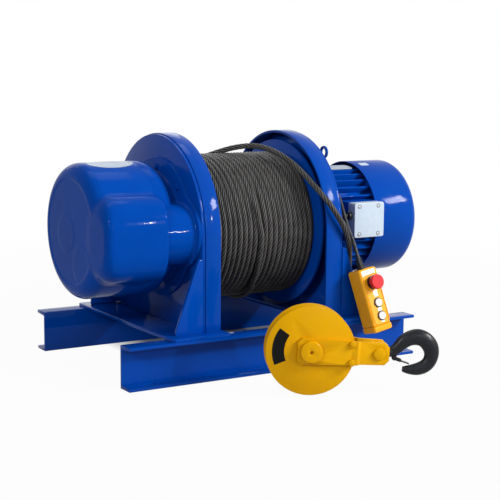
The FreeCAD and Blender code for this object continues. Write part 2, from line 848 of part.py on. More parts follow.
def make_gear(module, teeth, addendum, x0, x1, axis, angle, bore):
    """A spur gear along X with straight flanks between its root, pitch and tip."""
    module = float(module)
    teeth = int(float(teeth))
    pitch_radius = module * teeth / 2
    thickness = module * PI / 2 - float(tooth_play) / 2
    radii = (pitch_radius - 1.2 * module, pitch_radius, pitch_radius + addendum * module)
    halves = [flank_half_angle(radius, pitch_radius, teeth, thickness) for radius in radii]
    corners = []
    for tooth in range(teeth):
        centre = angle + tooth * 2 * PI / teeth
        for side, order in ((-1, (0, 1, 2)), (1, (2, 1, 0))):
            for index in order:
                turn = centre + side * halves[index]
                spoke = Vector(0, math.cos(turn), math.sin(turn)) * radii[index]
                corners.append(Vector(float(x0), axis.y, axis.z) + spoke)
    face = Part.Face(Part.makePolygon(corners + corners[:1]))
    gear = face.extrude(Vector(float(x1) - float(x0), 0, 0))
    if bore:
        gear = gear.cut(rod(float(x0) - 1, float(x1) + 1, bore, axis.y, axis.z))
    return gear


def meshed(angle, teeth, other_teeth, axis, other_axis):
    """The turn of a gear whose gaps take the teeth of the gear it meets."""
    bearing = math.atan2(other_axis.z - axis.z, other_axis.y - axis.y)
    return bearing + PI - PI / other_teeth + (bearing - angle) * teeth / other_teeth


def lightened(gear, x0, x1, axis, inner, outer, depth):
    """Turns a recess into both faces of a wheel, between its hub and rim."""
    for start, end in ((x0 - 1, x0 + depth), (x1 - depth, x1 + 1)):
        gear = gear.cut(tube(start, end, outer, inner, axis.y, axis.z))
    return gear


WHEEL_TIP = 0.8
PINION_TIP = 0.9
slow_x0 = -float(slow_wheel_x) - float(slow_wheel_width)
slow_x1 = -float(slow_wheel_x)
middle_x0 = -float(middle_wheel_x) - float(middle_wheel_width)
middle_x1 = -float(middle_wheel_x)
fast_x0 = -float(fast_wheel_x) - float(fast_wheel_width)
fast_x1 = -float(fast_wheel_x)
extra = float(pinion_extra) / 2
slow_teeth = (int(float(slow_wheel_teeth)), int(float(slow_pinion_teeth)))
middle_teeth = (int(float(middle_wheel_teeth)), int(float(middle_pinion_teeth)))
fast_teeth = (int(float(fast_wheel_teeth)), int(float(fast_pinion_teeth)))

output_gear = make_gear(slow_module, slow_teeth[0], WHEEL_TIP, slow_x0, slow_x1, DRUM_AXIS, 0.0, stub_radius)
output_gear = lightened(output_gear, slow_x0, slow_x1, DRUM_AXIS, 52, 98, 7)
shaped("output_gear", output_gear)

lay_gear = make_gear(
    middle_module, middle_teeth[0], WHEEL_TIP, middle_x0, middle_x1, LAY_AXIS, 0.0, shaft_radius
)
shaped("lay_gear", lightened(lay_gear, middle_x0, middle_x1, LAY_AXIS, 22, 48, 5))

fast_gear = make_gear(fast_module, fast_teeth[0], WHEEL_TIP, fast_x0, fast_x1, MIDDLE_AXIS, 0.0, wheel_bore)
shaped("intermediate_gear", lightened(fast_gear, fast_x0, fast_x1, MIDDLE_AXIS, 26, 62, 4))

journal = float(shaft_radius)


def make_lay_shaft():
    """The shaft with the pinion that drives the drum's gear."""
    angle = meshed(0.0, slow_teeth[0], slow_teeth[1], DRUM_AXIS, LAY_AXIS)
    pinion = make_gear(
        slow_module, slow_teeth[1], PINION_TIP, slow_x0 - extra, slow_x1 + extra, LAY_AXIS, angle, None
    )
    right = -PLATE_FACE - 9.3
    bearing_left = right - float(small_bearing_width)
    collar_end = -float(inner_plate_x) + 0.3
    shaft = rod(middle_x0 - 4, right, journal, LAY_AXIS.y, LAY_AXIS.z)
    collar = rod(collar_end, bearing_left - 0.3, journal + 5, LAY_AXIS.y, LAY_AXIS.z)
    return shaft.fuse([collar, pinion])


def make_intermediate_shaft():
    """The shaft with the pinion that drives the lay shaft's wheel."""
    angle = meshed(0.0, middle_teeth[0], middle_teeth[1], LAY_AXIS, MIDDLE_AXIS)
    start = middle_x0 - extra
    end = middle_x1 + extra
    pinion = make_gear(middle_module, middle_teeth[1], PINION_TIP, start, end, MIDDLE_AXIS, angle, None)
    left = -float(lid_bearing_x) + 0.3
    right = -float(inner_plate_x) - 0.3
    shaft = rod(left, right, journal, MIDDLE_AXIS.y, MIDDLE_AXIS.z)
    seat = rod(fast_x0 - 2, fast_x1, wheel_bore, MIDDLE_AXIS.y, MIDDLE_AXIS.z)
    return shaft.fuse([seat, pinion])


def make_input_shaft():
    """The motor's long shaft, through the hollow drum to its pinion in the gearbox."""
    angle = meshed(0.0, fast_teeth[0], fast_teeth[1], MIDDLE_AXIS, DRUM_AXIS)
    pinion = make_gear(
        fast_module, fast_teeth[1], PINION_TIP, fast_x0 - extra, fast_x1 + extra, DRUM_AXIS, angle, None
    )
    steps = [
        (-float(lid_bearing_x) + 0.3, -300, journal),
        (-300, motor_front_bearing - 3, journal + 2),
        (motor_front_bearing - 3, brake_face, motor_journal),
        (brake_face, float(cover_back_x) - 16, motor_shaft_radius),
    ]
    shaft = rod(steps[0][0], steps[0][1], steps[0][2], 0, axis_height)
    rest = [rod(start, end, radius, 0, axis_height) for start, end, radius in steps[1:]]
    return shaft.fuse(rest + [pinion])


motor_front_bearing = PLATE_FACE + 6
motor_journal = float(motor_shaft_radius) + 3
brake_face = float(frame_back_x) + float(rear_shield_thick)
shaped("lay_shaft", make_lay_shaft())
shaped("intermediate_shaft", make_intermediate_shaft())
shaped("input_shaft", make_input_shaft())

small_bore = journal + float(running_gap)
small_width = float(small_bearing_width)
small_seats = [
    (-PLATE_FACE - 9 - small_width, LAY_AXIS),
    (-float(inner_plate_x) - float(inner_plate_thick), LAY_AXIS),
    (-float(inner_plate_x) - float(inner_plate_thick), MIDDLE_AXIS),
    (-float(lid_bearing_x), MIDDLE_AXIS),
    (-float(lid_bearing_x), DRUM_AXIS),
]
small_bearings = [
    make_bearing(start, small_width, small_bore, small_bearing_radius, axis.y, axis.z)
    for start, axis in small_seats
]
shaped("gearbox_bearings", Part.makeCompound(small_bearings))

# The motor, with its brake and fan

rear_bearing_start = float(frame_back_x) - 6


def make_motor_frame():
    """The finned frame: ribs repeated round it, the terminal pad, the eye's boss, then the bore."""
    length = frame_back_x - frame_front_x
    body = turned("motor_frame", [(0, 0), (0, frame_radius), (length, frame_radius), (length, 0)])
    turned_sketch = body.Group[0]
    fin_sketch = new_sketch(body, "YZ_Plane", "fin_section")
    half = fin_thick / 2
    draw_loop(fin_sketch, [
        (-half, frame_radius - 4),
        (half, frame_radius - 4),
        (half, fin_radius),
        (-half, fin_radius),
    ])
    fin = pad(body, fin_sketch, length, "fin")
    polar(body, fin, turned_sketch, fin_count, "fins")
    pad_sketch = new_sketch(body, "XZ_Plane", "terminal_pad_outline")
    left = box_left - frame_front_x
    low = box_bottom - axis_height
    draw_loop(pad_sketch, [
        (left, low),
        (left + box_width, low),
        (left + box_width, low + box_height),
        (left, low + box_height),
    ])
    pad(body, pad_sketch, box_front - box_depth, "terminal_pad")
    eye_sketch = new_sketch(body, "XY_Plane", "eye_boss_outline")
    draw_circle(eye_sketch, eye_x - frame_front_x, 0, 14)
    pad(body, eye_sketch, fin_radius, "eye_boss")
    bore_sketch = new_sketch(body, "YZ_Plane", "bore_outline")
    draw_circle(bore_sketch, 0, 0, frame_bore)
    pocket(body, bore_sketch, length, "bore", True)
    put(body, frame_front_x, 0, axis_height)


make_motor_frame()


def make_front_shield():
    """The motor's front end shield, bolted to the right end plate."""
    face = PLATE_FACE
    flange_end = face + SCREW_LENGTH
    back = float(frame_front_x)
    spigot = back + 6
    seat_end = motor_front_bearing + float(motor_bearing_width)
    outline = [
        (face, motor_journal + 3),
        (face, shield_flange_radius),
        (flange_end, shield_flange_radius),
        (flange_end, float(shield_flange_radius) - 17),
        (back - 8, float(shield_flange_radius) - 17),
        (back - 8, frame_radius),
        (back, frame_radius),
        (back, frame_bore),
        (spigot, frame_bore),
        (spigot, float(frame_bore) - 6),
        (seat_end - 6, float(frame_bore) - 6),
        (seat_end - 6, float(motor_bearing_radius) + 8),
        (seat_end, float(motor_bearing_radius) + 8),
        (seat_end, motor_bearing_radius),
        (motor_front_bearing, motor_bearing_radius),
        (motor_front_bearing, motor_journal + 3),
    ]
    shield = lathe(outline, 0, axis_height)
    for y, z in SHIELD_SCREWS:
        shield = shield.cut(rod(face - 1, flange_end + 1, SCREW_HOLE, y, z))
    return shield


def make_rear_shield():
    """The rear end shield, with four pads that carry the fan cover."""
    front = float(frame_back_x)
    spigot = front - 6
    seat_end = rear_bearing_start + float(motor_bearing_width)
    outline = [
        (spigot, float(frame_bore) - 6),
        (spigot, frame_bore),
        (front, frame_bore),
        (front, float(frame_radius) + 6),
        (brake_face, float(frame_radius) + 6),
        (brake_face, motor_journal + 3),
        (seat_end, motor_journal + 3),
        (seat_end, motor_bearing_radius),
        (rear_bearing_start, motor_bearing_radius),
        (rear_bearing_start, float(motor_bearing_radius) + 8),
        (front + 6, float(motor_bearing_radius) + 8),
        (front + 6, float(frame_bore) - 6),
    ]
    shield = lathe(outline, 0, axis_height)
    reach = float(cover_radius) - float(cover_wall)
    middle_z = float(axis_height)
    room = rod(front, brake_face, reach, 0, middle_z)
    inner = rod(front, brake_face, float(frame_radius), 0, middle_z)
    pads = []
    for turn in (45, 135, 225, 315):
        bar = block(front + 1, brake_face - 1, 0, reach + 5, middle_z - 12, middle_z + 12)
        bar.rotate(Vector(0, 0, middle_z), Vector(1, 0, 0), turn)
        pads.append(bar.common(room).cut(inner))
    return shield.fuse(pads)


shaped("motor_front_shield", make_front_shield())
shaped("motor_rear_shield", make_rear_shield())
motor_bore = motor_journal + float(running_gap)
motor_bearings = [
    make_bearing(start, motor_bearing_width, motor_bore, motor_bearing_radius, 0, axis_height)
    for start in (motor_front_bearing, rear_bearing_start)
]
shaped("motor_bearings", Part.makeCompound(motor_bearings))

stator_start = (float(frame_front_x) + float(frame_back_x) - float(stator_length)) / 2 + 3
stator_end = stator_start + float(stator_length)


def make_stator():
    """The laminated stator with its winding ends."""
    core = tube(stator_start, stator_end, frame_bore, stator_bore, 0, axis_height)
    ends = []
    for start, end in ((stator_start - 10, stator_start), (stator_end, stator_end + 8)):
        ends.append(tube(start, end, float(frame_bore) - 8, float(stator_bore) + 6, 0, axis_height))
    return core.fuse(ends)


def make_rotor_core():
    """The rotor's core with its end rings."""
    radius = float(stator_bore) - float(rotor_gap)
    core = tube(stator_start, stator_end, radius, motor_journal, 0, axis_height)
    ends = []
    for start, end in ((stator_start - 7, stator_start), (stator_end, stator_end + 5)):
        ends.append(tube(start, end, radius - 4, radius - 18, 0, axis_height))
    return core.fuse(ends)


shaped("stator", make_stator())
shaped("rotor_core", make_rotor_core())

disc_start = brake_face + float(brake_clearance)
disc_end = disc_start + float(disc_thick)
armature_start = disc_end + float(brake_clearance)
armature_end = armature_start + float(armature_thick)
magnet_start = armature_end + float(magnet_gap)
magnet_end = magnet_start + float(magnet_thick)
STUD_PLACES = around(3, float(disc_radius) + 8, PI / 2)
STUD_RADIUS = 4.0


def make_brake_disc():
    """The friction disc that turns with the motor's shaft."""
    disc = tube(disc_start, disc_end, disc_radius, motor_shaft_radius, 0, axis_height)
    return lightened(disc, disc_start, disc_end, DRUM_AXIS, 30, 58, 2)


def make_armature():
    """The brake's sliding plate, guided by the three studs."""
    plate = tube(armature_start, armature_end, float(disc_radius) + 14, 30, 0, axis_height)
    for y, z in STUD_PLACES:
        plate = plate.cut(rod(armature_start - 1, armature_end + 1, STUD_RADIUS + 0.06, y, z))
    return plate


def make_magnet():
    """The brake's magnet body on its three studs."""
    magnet = tube(magnet_start, magnet_end, float(disc_radius) + 14, 30, 0, axis_height)
    magnet = magnet.cut(tube(magnet_start - 1, magnet_start + 2, 70, 50, 0, axis_height))
    studs = [rod(brake_face, magnet_end + 6, STUD_RADIUS, y, z) for y, z in STUD_PLACES]
    return magnet.fuse(studs)


def make_fan():
    """The cooling fan: a hub, a back disc and flat blades."""
    start = float(fan_front_x)
    end = start + float(fan_width)
    hub = tube(start, end, 28, motor_shaft_radius, 0, axis_height)
    disc = tube(start, start + 4, fan_radius, 27, 0, axis_height)
    blades = []
    middle_z = float(axis_height)
    for step in range(9):
        blade = block(start + 3, end, 27, float(fan_radius) - 2, middle_z - 2, middle_z + 2)
        blade.rotate(Vector(0, 0, middle_z), Vector(1, 0, 0), step * 40)
        blades.append(blade)
    return hub.fuse([disc] + blades)


shaped("brake_disc", make_brake_disc())
shaped("brake_armature", make_armature())
shaped("brake_magnet", make_magnet())
shaped("fan", make_fan())


def round_edge(body, name, across_edge, radius):
    """Rounds the circle of a given width at the far end of a turned body."""
    before = body.Tip
    edges = list(enumerate(before.Shape.Edges, 1))
    flat = [(number, edge.BoundBox) for number, edge in edges if edge.BoundBox.XLength < 0.01]
    found = [number for number, box in flat if box.XMin > 10 and abs(box.YLength - across_edge) < 0.1]
    feature = body.newObject("PartDesign::Fillet", name)
    feature.Base = (before, ["Edge" + str(number) for number in found])
    feature.setExpression("Radius", radius.text)
    doc.recompute()


def make_fan_cover():
    """The sheet cover over brake and fan: turned, its corner rounded, its end slotted all round."""
    start = cover_front_x
    inner = cover_radius - cover_wall
    length = cover_back_x - cover_front_x
    body = turned("fan_cover", [
        (0, inner),
        (0, cover_radius),
        (length, cover_radius),
        (length, 0),
        (length - cover_wall, 0),
        (length - cover_wall, inner),
    ])
    turned_sketch = body.Group[0]
    doc.recompute()
    round_edge(body, "outer_corner", 2 * float(cover_radius), cover_corner)
    round_edge(body, "inner_corner", 2 * float(inner), cover_corner - cover_wall)
    slot_sketch = new_sketch(body, "YZ_Plane", "grille_slot")
    outer_end = cover_radius - cover_corner - 8
    draw_loop(slot_sketch, [
        (-6, 40),
        (6, 40),
        (12, outer_end),
        (-12, outer_end),
    ])
    slot = pocket(body, slot_sketch, length + 10, "slot", True)
    polar(body, slot, turned_sketch, grille_slots, "grille")
    put(body, start, 0, axis_height)


make_fan_cover()


def make_lifting_eye():
    """The eye bolt on top of the motor."""
    x = float(eye_x)
    seat = float(axis_height) + float(fin_radius)
    centre = Vector(x, 0, float(eye_height))
    ring = Part.makeTorus(float(eye_ring_radius), float(eye_wire_radius), centre, Vector(1, 0, 0))
    neck_top = float(eye_height) - float(eye_ring_radius) + 1
    collar = Part.makeCylinder(11, 5, Vector(x, 0, seat), Vector(0, 0, 1))
    neck = Part.makeCone(8, 5, neck_top - seat - 5, Vector(x, 0, seat + 5), Vector(0, 0, 1))
    return ring.fuse([collar, neck])


shaped("lifting_eye", make_lifting_eye())

# The terminal box

LID_BACK = -float(box_front) + float(box_lid_thick)
BOX_BACK = -float(box_front) + float(box_depth)


def make_terminal_box():
    """The box's lower half, open to the front."""
    x0 = float(box_left)
    x1 = x0 + float(box_width)
    z0 = float(box_bottom)
    z1 = z0 + float(box_height)
    outer = block(x0, x1, LID_BACK, BOX_BACK, z0, z1)
    edges = [edge for edge in outer.Edges if abs(edge.tangentAt(edge.FirstParameter).y) > 0.9]
    outer = outer.makeFillet(6, edges)
    return outer.cut(block(x0 + 4, x1 - 4, LID_BACK - 1, BOX_BACK - 4, z0 + 4, z1 - 4))


def make_terminal_lid():
    """The box's lid with a softened edge."""
    x0 = float(box_left)
    x1 = x0 + float(box_width)
    z0 = float(box_bottom)
    z1 = z0 + float(box_height)
    lid = block(x0, x1, -float(box_front), LID_BACK, z0, z1)
    edges = [edge for edge in lid.Edges if abs(edge.tangentAt(edge.FirstParameter).y) > 0.9]
    lid = lid.makeFillet(6, edges)
    face = [edge for edge in lid.Edges if edge.BoundBox.YLength < 0.01 and edge.BoundBox.YMin < LID_BACK - 1]
    return lid.makeFillet(2, face)


shaped("terminal_box", make_terminal_box())
shaped("terminal_lid", make_terminal_lid())
GLAND_Y = -165.0
GLAND_Z = 350.0
gland_end = float(box_left) - float(gland_length)
gland = rod(gland_end, box_left, gland_radius, GLAND_Y, GLAND_Z)
gland = gland.makeChamfer(2, [edge for edge in gland.Edges if edge.BoundBox.XMax < gland_end + 0.01])
shaped("cable_gland", gland)

# The pendant switch, in its own frame: x right, y back, z up from the top of its face


def pendant_place():
    """Where the pendant leans: turned a little and tipped back against the base."""
    turn = FreeCAD.Rotation(Vector(0, 0, 1), PENDANT_YAW)
    turn = turn.multiply(FreeCAD.Rotation(Vector(1, 0, 0), PENDANT_LEAN))
    turn = turn.multiply(FreeCAD.Rotation(Vector(0, 1, 0), PENDANT_TILT))
    return FreeCAD.Placement(PENDANT_PLACE, turn)


PENDANT = pendant_place()
FACE_BACK = float(face_thick)


def make_pendant_parts():
    """Shell and face, parted from one rounded box so that their edges run on."""
    half = float(pendant_width) / 2
    depth = float(pendant_depth)
    length = float(pendant_length)
    corner = float(pendant_corner)
    whole = block(-half, half, 0, depth, -length, 0)
    whole = whole.makeFillet(corner, whole.Edges)
    room = block(-half + 4, half - 4, FACE_BACK - 1, depth - 4, -length + 5, -5)
    front = block(-half - 1, half + 1, -1, FACE_BACK, -length - 1, 1)
    shell = whole.cut(front).cut(room)
    face = whole.common(front)
    for side, radius, drop in (
        (float(button_side), float(stop_stem), float(stop_drop)),
        (float(button_side), float(button_radius), float(upper_button_drop)),
        (float(button_side), float(button_radius), float(lower_button_drop)),
    ):
        start = Vector(side, -5, -drop)
        hole = Part.makeCylinder(radius + float(button_play), FACE_BACK + 10, start, Vector(0, 1, 0))
        face = face.cut(hole)
    return shell, face


def front_rim(solid, depth):
    """The round edges of a plunger that lie in front of a depth."""
    flat = [edge for edge in solid.Edges if edge.BoundBox.YLength < 0.01]
    return [edge for edge in flat if edge.BoundBox.YMin < depth]


def make_plunger(radius, drop, lift, head_radius, head_thick):
    """A push button along the face's normal: head, stem and the rim that keeps it in."""
    side = float(button_side)
    inward = Vector(0, 1, 0)
    parts = []
    if head_radius:
        start = Vector(side, -lift - head_thick, -drop)
        head = Part.makeCylinder(head_radius, head_thick, start, inward)
        parts.append(head.makeFillet(2.5, front_rim(head, start.y + 1)))
    stem = Part.makeCylinder(radius, lift + FACE_BACK + 1, Vector(side, -lift, -drop), inward)
    if not head_radius:
        stem = stem.makeFillet(1.2, front_rim(stem, -lift + 1))
    parts.append(stem)
    keeper = Part.makeCylinder(radius + 2, 3, Vector(side, FACE_BACK + 0.2, -drop), inward)
    return keeper.fuse(parts)


pendant_shell, pendant_face = make_pendant_parts()
shaped("pendant_shell", pendant_shell, PENDANT)
shaped("pendant_face", pendant_face, PENDANT)
stop_button = make_plunger(
    float(stop_stem), float(stop_drop), float(stop_lift), float(stop_radius), float(stop_thick)
)
shaped("stop_button", stop_button, PENDANT)
for label, drop in (("up_button", upper_button_drop), ("down_button", lower_button_drop)):
    shaped(label, make_plunger(float(button_radius), float(drop), float(button_lift), 0, 0), PENDANT)

BOOT_X = 0.0
BOOT_Y = float(pendant_depth) / 2
BOOT_HEIGHT = 30.0
boot = Part.makeCone(9, 6, BOOT_HEIGHT, Vector(BOOT_X, BOOT_Y, 0), Vector(0, 0, 1))
boot = boot.fuse(Part.makeCylinder(11, 6, Vector(BOOT_X, BOOT_Y, 0), Vector(0, 0, 1)))
shaped("pendant_boot", boot, PENDANT)

# The cords: straight runs joined by tangent arcs


def route(points, diameter, label):
    """A round cord through hand-set points, with an arc at every corner."""
    points = [Vector(*point) for point in points]
    edges = []
    here = points[0]
    smallest = None
    for index in range(1, len(points) - 1):
        before, corner, after = points[index - 1:index + 2]
        into = Vector(corner - before)
        out = Vector(after - corner)
        shorter = min(into.Length, out.Length)
        into.normalize()
        out.normalize()
        half_turn = into.getAngle(out) / 2
        trim = 0.45 * shorter
        radius = trim / math.tan(half_turn)
        smallest = radius if smallest is None else min(smallest, radius)
        start = corner - into * trim
        end = corner + out * trim
        inward = Vector(out - into)
        inward.normalize()
        middle = corner + inward * (radius / math.cos(half_turn) - radius)
        edges.append(Part.LineSegment(here, start).toShape())
        edges.append(Part.Arc(start, middle, end).toShape())
        here = end
    edges.append(Part.LineSegment(here, points[-1]).toShape())
    wire = Part.Wire(edges)
    first = Vector(points[1] - points[0])
    section = Part.Wire(Part.Circle(points[0], first, diameter / 2).toShape())
    cord = wire.makePipeShell([section], True, False)
    length = wire.Length
    share = cord.Volume / (length * PI * diameter ** 2 / 4)
    print(label, "length", round(length), "smallest radius", round(smallest, 1), "volume", round(share, 3))
    return cord


def pendant_point(x, y, z):
    return tuple(PENDANT.multVec(Vector(x, y, z)))


CABLE = float(cable_diameter)
COIL_X = 255.0
COIL_Y = 70.0
COIL_RADIUS = 48.0
COIL_TURNS = 3.5
COIL_SIDES = 8
COIL_LEAD = 20.0
FLOOR = float(beam_height + plate_thick)
CABLE_LOW = FLOOR + CABLE / 2


def coil_points():
    """A flat-sided helix lying on the base plate, leaving on both ends towards the front."""
    count = int(COIL_TURNS * COIL_SIDES)
    rise = (CABLE + 0.3) / COIL_SIDES
    reach = COIL_RADIUS / math.cos(PI / COIL_SIDES)
    points = [(COIL_X - COIL_RADIUS, COIL_Y - COIL_LEAD, CABLE_LOW)]
    for step in range(count):
        angle = PI - (step + 0.5) * 2 * PI / COIL_SIDES
        x = COIL_X + reach * math.cos(angle)
        y = COIL_Y + reach * math.sin(angle)
        points.append((x, y, CABLE_LOW + rise * step))
    points.append((COIL_X + COIL_RADIUS, COIL_Y - COIL_LEAD, CABLE_LOW + rise * (count - 1)))
    return points


coil = coil_points()
boot_tip = pendant_point(BOOT_X, BOOT_Y, BOOT_HEIGHT)
lower_run = [
    boot_tip,
    pendant_point(BOOT_X, BOOT_Y, BOOT_HEIGHT + 28),
    (221, -228, 316),
    (218.5, -209, 351.5),
    (211.5, -196, 400),
    (209.5, -177, 420),
    (209.5, -151, 420),
    (211, -132, 400),
    (212, -129.5, 365),
    (212.5, -132, 320),
    (212, -137, 275),
    (212.5, -136, 230),
    (211, -128, 190),
    (209, -106, 150),
    (207.2, -72, 123),
    (206.6, -34, 113.4),
    (COIL_X - COIL_RADIUS, 8, CABLE_LOW),
    coil[0],
]
gland_mouth = float(box_left) - float(gland_length)
upper_run = [
    coil[-1],
    (COIL_X + COIL_RADIUS, 14, coil[-1][2]),
    (299, -30, 158),
    (288, -78, 176),
    (270, -119, 207),
    (249, -145, 247),
    (228, -155, 268),
    (210, -161, 298),
    (208.5, -163.5, 331),
    (227, -165, 350),
    (gland_mouth, GLAND_Y, GLAND_Z),
]
shaped("pendant_cable", route(lower_run, CABLE, "pendant cable"))
shaped("cable_coil", route(coil, CABLE, "cable coil"))
shaped("cable_to_box", route(upper_run, CABLE, "cable to the terminal box"))

CLIP_Y = -185.0
CLIP_Z = 371.0
CLIP_REACH = 11.0
clip = block(PLATE_FACE, PLATE_FACE + CLIP_REACH, CLIP_Y - 6, CLIP_Y + 6, CLIP_Z - 6, CLIP_Z + 6)
outer_edges = [edge for edge in clip.Edges if edge.BoundBox.XMin > PLATE_FACE + 1]
shaped("cable_clip", clip.makeFillet(2, outer_edges))
wire_run = [
    pendant_point(-8, 12, -0.5),
    pendant_point(-8, 12, 24),
    (220, -257, 281),
    (219, -243, 308),
    (212, -227, 336),
    (205, -206, 357),
    (202, CLIP_Y - 4, CLIP_Z - 2),
]
shaped("support_wire", route(wire_run, float(wire_diameter), "support wire"))

ROPE = float(rope_diameter)
rope_run = [
    (-46, 40, 509.2),
    (-12, 14, 517.5),
    (17.6, -6, 523.2),
    (45.5, -28, 526.5),
    (66.2, -56, 523.3),
    (84.6, -86, 511.9),
    (104, -122, 489.7),
    (120, -157, 461.7),
    (130, -191, 433),
    (140.5, -226, 402),
    (158, -243, 370),
    (182, -245, 336),
    (204, -239, 303),
    (222, -224, 271),
    (236, -206, 236),
    (246, -190, 196),
    (255, -172, 157),
    (264, -140, 128),
    (270, -98, 115.6),
    (272, -52, 115.2),
]
shaped("rope_tail", route(rope_run, ROPE, "rope tail"))

# The hook block, in its own frame: x along its arm, y across it, z up from the pin


def block_place():
    """Where the block lies: on the rims of its covers, the arm turned and sloping down."""
    turn = FreeCAD.Rotation(Vector(0, 0, 1), BLOCK_TURN)
    turn = turn.multiply(FreeCAD.Rotation(Vector(0, 1, 0), BLOCK_SLOPE))
    place = BLOCK_PLACE + Vector(0, 0, float(sheave_cover_radius))
    return FreeCAD.Placement(place, turn)


BLOCK = block_place()
COVER_IN = float(sheave_cover_gap)
COVER_OUT = COVER_IN + float(sheave_cover_thick)
STRAP_OUT = COVER_OUT + float(strap_thick)
JOGGLE = float(strap_joggle)
TIE_PLACES = ((92.0, 21.0), (92.0, -21.0))


def across(start, end, radius, x=0.0, z=0.0):
    """A cylinder across the block, along y."""
    return Part.makeCylinder(float(radius), float(end) - float(start), Vector(x, start, z), Vector(0, 1, 0))


def make_covers():
    """The two cover discs beside the sheave."""
    covers = []
    for side in (-1, 1):
        low, high = sorted((side * COVER_IN, side * COVER_OUT))
        cover = across(low, high, sheave_cover_radius)
        cover = cover.cut(across(low - 1, high + 1, pin_radius))
        for x, z in TIE_PLACES:
            cover = cover.cut(across(low - 1, high + 1, tie_radius, x, z))
        covers.append(cover)
    return Part.makeCompound(covers)


def make_straps():
    """The two side straps, bent inwards beyond the covers to meet the crosshead."""
    back = -float(strap_back)
    tip = float(strap_reach)
    bend = float(strap_bend)
    wide = float(strap_back_width) / 2
    narrow = float(strap_front_width) / 2
    side_outline = [
        Vector(back, 0, -wide + 9),
        Vector(back + 9, 0, -wide),
        Vector(tip - 10, 0, -narrow),
        Vector(tip, 0, -narrow + 10),
        Vector(tip, 0, narrow - 10),
        Vector(tip - 10, 0, narrow),
        Vector(back + 9, 0, wide),
        Vector(back, 0, wide - 9),
    ]
    slab = Part.Face(Part.makePolygon(side_outline + side_outline[:1])).extrude(Vector(0, 100, 0))
    slab.translate(Vector(0, -50, 0))
    straps = []
    for side in (-1, 1):
        plan = [
            (back - 1, COVER_OUT),
            (bend, COVER_OUT),
            (bend + JOGGLE, COVER_OUT - JOGGLE),
            (tip + 1, COVER_OUT - JOGGLE),
            (tip + 1, STRAP_OUT - JOGGLE),
            (bend + JOGGLE + 3, STRAP_OUT - JOGGLE),
            (bend + 3, STRAP_OUT),
            (back - 1, STRAP_OUT),
        ]
        corners = [Vector(x, side * y, -60) for x, y in plan]
        bar = Part.Face(Part.makePolygon(corners + corners[:1])).extrude(Vector(0, 0, 120))
        strap = bar.common(slab)
        strap = strap.cut(across(-60, 60, pin_radius))
        for x, z in TIE_PLACES:
            strap = strap.cut(across(-60, 60, tie_radius, x, z))
        strap = strap.cut(across(-60, 60, crosshead_bolt, float(crosshead_x)))
        straps.append(strap)
    return Part.makeCompound(straps)


def make_pin():
    """The sheave's pin with a round head outside each strap and a centre hole."""
    pin = across(-STRAP_OUT, STRAP_OUT, pin_radius)
    heads = []
    for side in (-1, 1):
        low, high = sorted((side * STRAP_OUT, side * (STRAP_OUT + float(pin_head_thick))))
        head = across(low, high, pin_head_radius)
        rims = [edge for edge in head.Edges if edge.BoundBox.YLength < 0.01]
        outer = [edge for edge in rims if abs(edge.BoundBox.YMin) > STRAP_OUT + 1]
        heads.append(head.makeChamfer(1.5, outer))
    pin = pin.fuse(heads)
    end = STRAP_OUT + float(pin_head_thick)
    return pin.cut(across(-end - 1, -end + 8, 4)).cut(across(end - 8, end + 1, 4))


def make_tie_bolts():
    """The two bolts that tie the straps and covers together outside the sheave."""
    bolts = []
    for x, z in TIE_PLACES:
        bolt = across(-STRAP_OUT, STRAP_OUT, tie_radius, x, z)
        heads = []
        for side in (-1, 1):
            corners = []
            for step in range(6):
                angle = step * PI / 3
                corners.append(Vector(x + 8 * math.cos(angle), side * STRAP_OUT, z + 8 * math.sin(angle)))
            heads.append(Part.Face(Part.makePolygon(corners + corners[:1])).extrude(Vector(0, side * 5, 0)))
        bolts.append(bolt.fuse(heads))
    return Part.makeCompound(bolts)


def make_sheave():
    """The grooved rope wheel, a running fit on its pin."""
    half = float(sheave_width) / 2
    rim = float(sheave_radius)
    groove = ROPE / 2 + 0.6
    root = rim - 14
    outline = [
        (-half, float(pin_radius) + float(running_gap)),
        (-half, 30),
        (-half + 8, 34),
        (-half + 8, root - 16),
        (-half, root - 8),
        (-half, rim),
        (-groove - 2, rim),
        (-groove, root + 5),
        (-groove * 0.6, root + 1),
        (0, root),
        (groove * 0.6, root + 1),
        (groove, root + 5),
        (groove + 2, rim),
        (half, rim),
        (half, root - 8),
        (half - 8, root - 16),
        (half - 8, 34),
        (half, 30),
        (half, float(pin_radius) + float(running_gap)),
    ]
    points = [Vector(radius, along, 0) for along, radius in outline]
    face = Part.Face(Part.makePolygon(points + points[:1]))
    return face.revolve(Vector(0, 0, 0), Vector(0, 1, 0), 360)


CROSSHEAD_IN = COVER_OUT - JOGGLE
CROSSHEAD_START = float(crosshead_x) - float(crosshead_length) / 2
CROSSHEAD_END = CROSSHEAD_START + float(crosshead_length)
SHANK_HOLE = 9.0


def make_crosshead():
    """The block between the straps that carries the hook, with its two trunnions."""
    half = float(crosshead_height) / 2
    body = block(CROSSHEAD_START, CROSSHEAD_END, -CROSSHEAD_IN, CROSSHEAD_IN, -half, half)
    reach = STRAP_OUT - JOGGLE + 4
    trunnion = across(-reach, reach, crosshead_bolt, float(crosshead_x))
    body = body.fuse(trunnion)
    return body.cut(Part.makeCylinder(SHANK_HOLE, 80, Vector(CROSSHEAD_START - 20, 0, 0), Vector(1, 0, 0)))


HOOK_LINE = (
    (-67.5, 0.0, 21.6),
    (-57, 2.2, 23),
    (-45, 11, 26),
    (-33, 24, 31),
    (-19, 34, 34),
    (2, 38, 37),
    (22, 28.5, 37),
    (34.5, 4, 34),
    (27, -22, 31),
    (4, -35, 28),
    (-14, -36.8, 21),
    (-29, -36, 12),
)


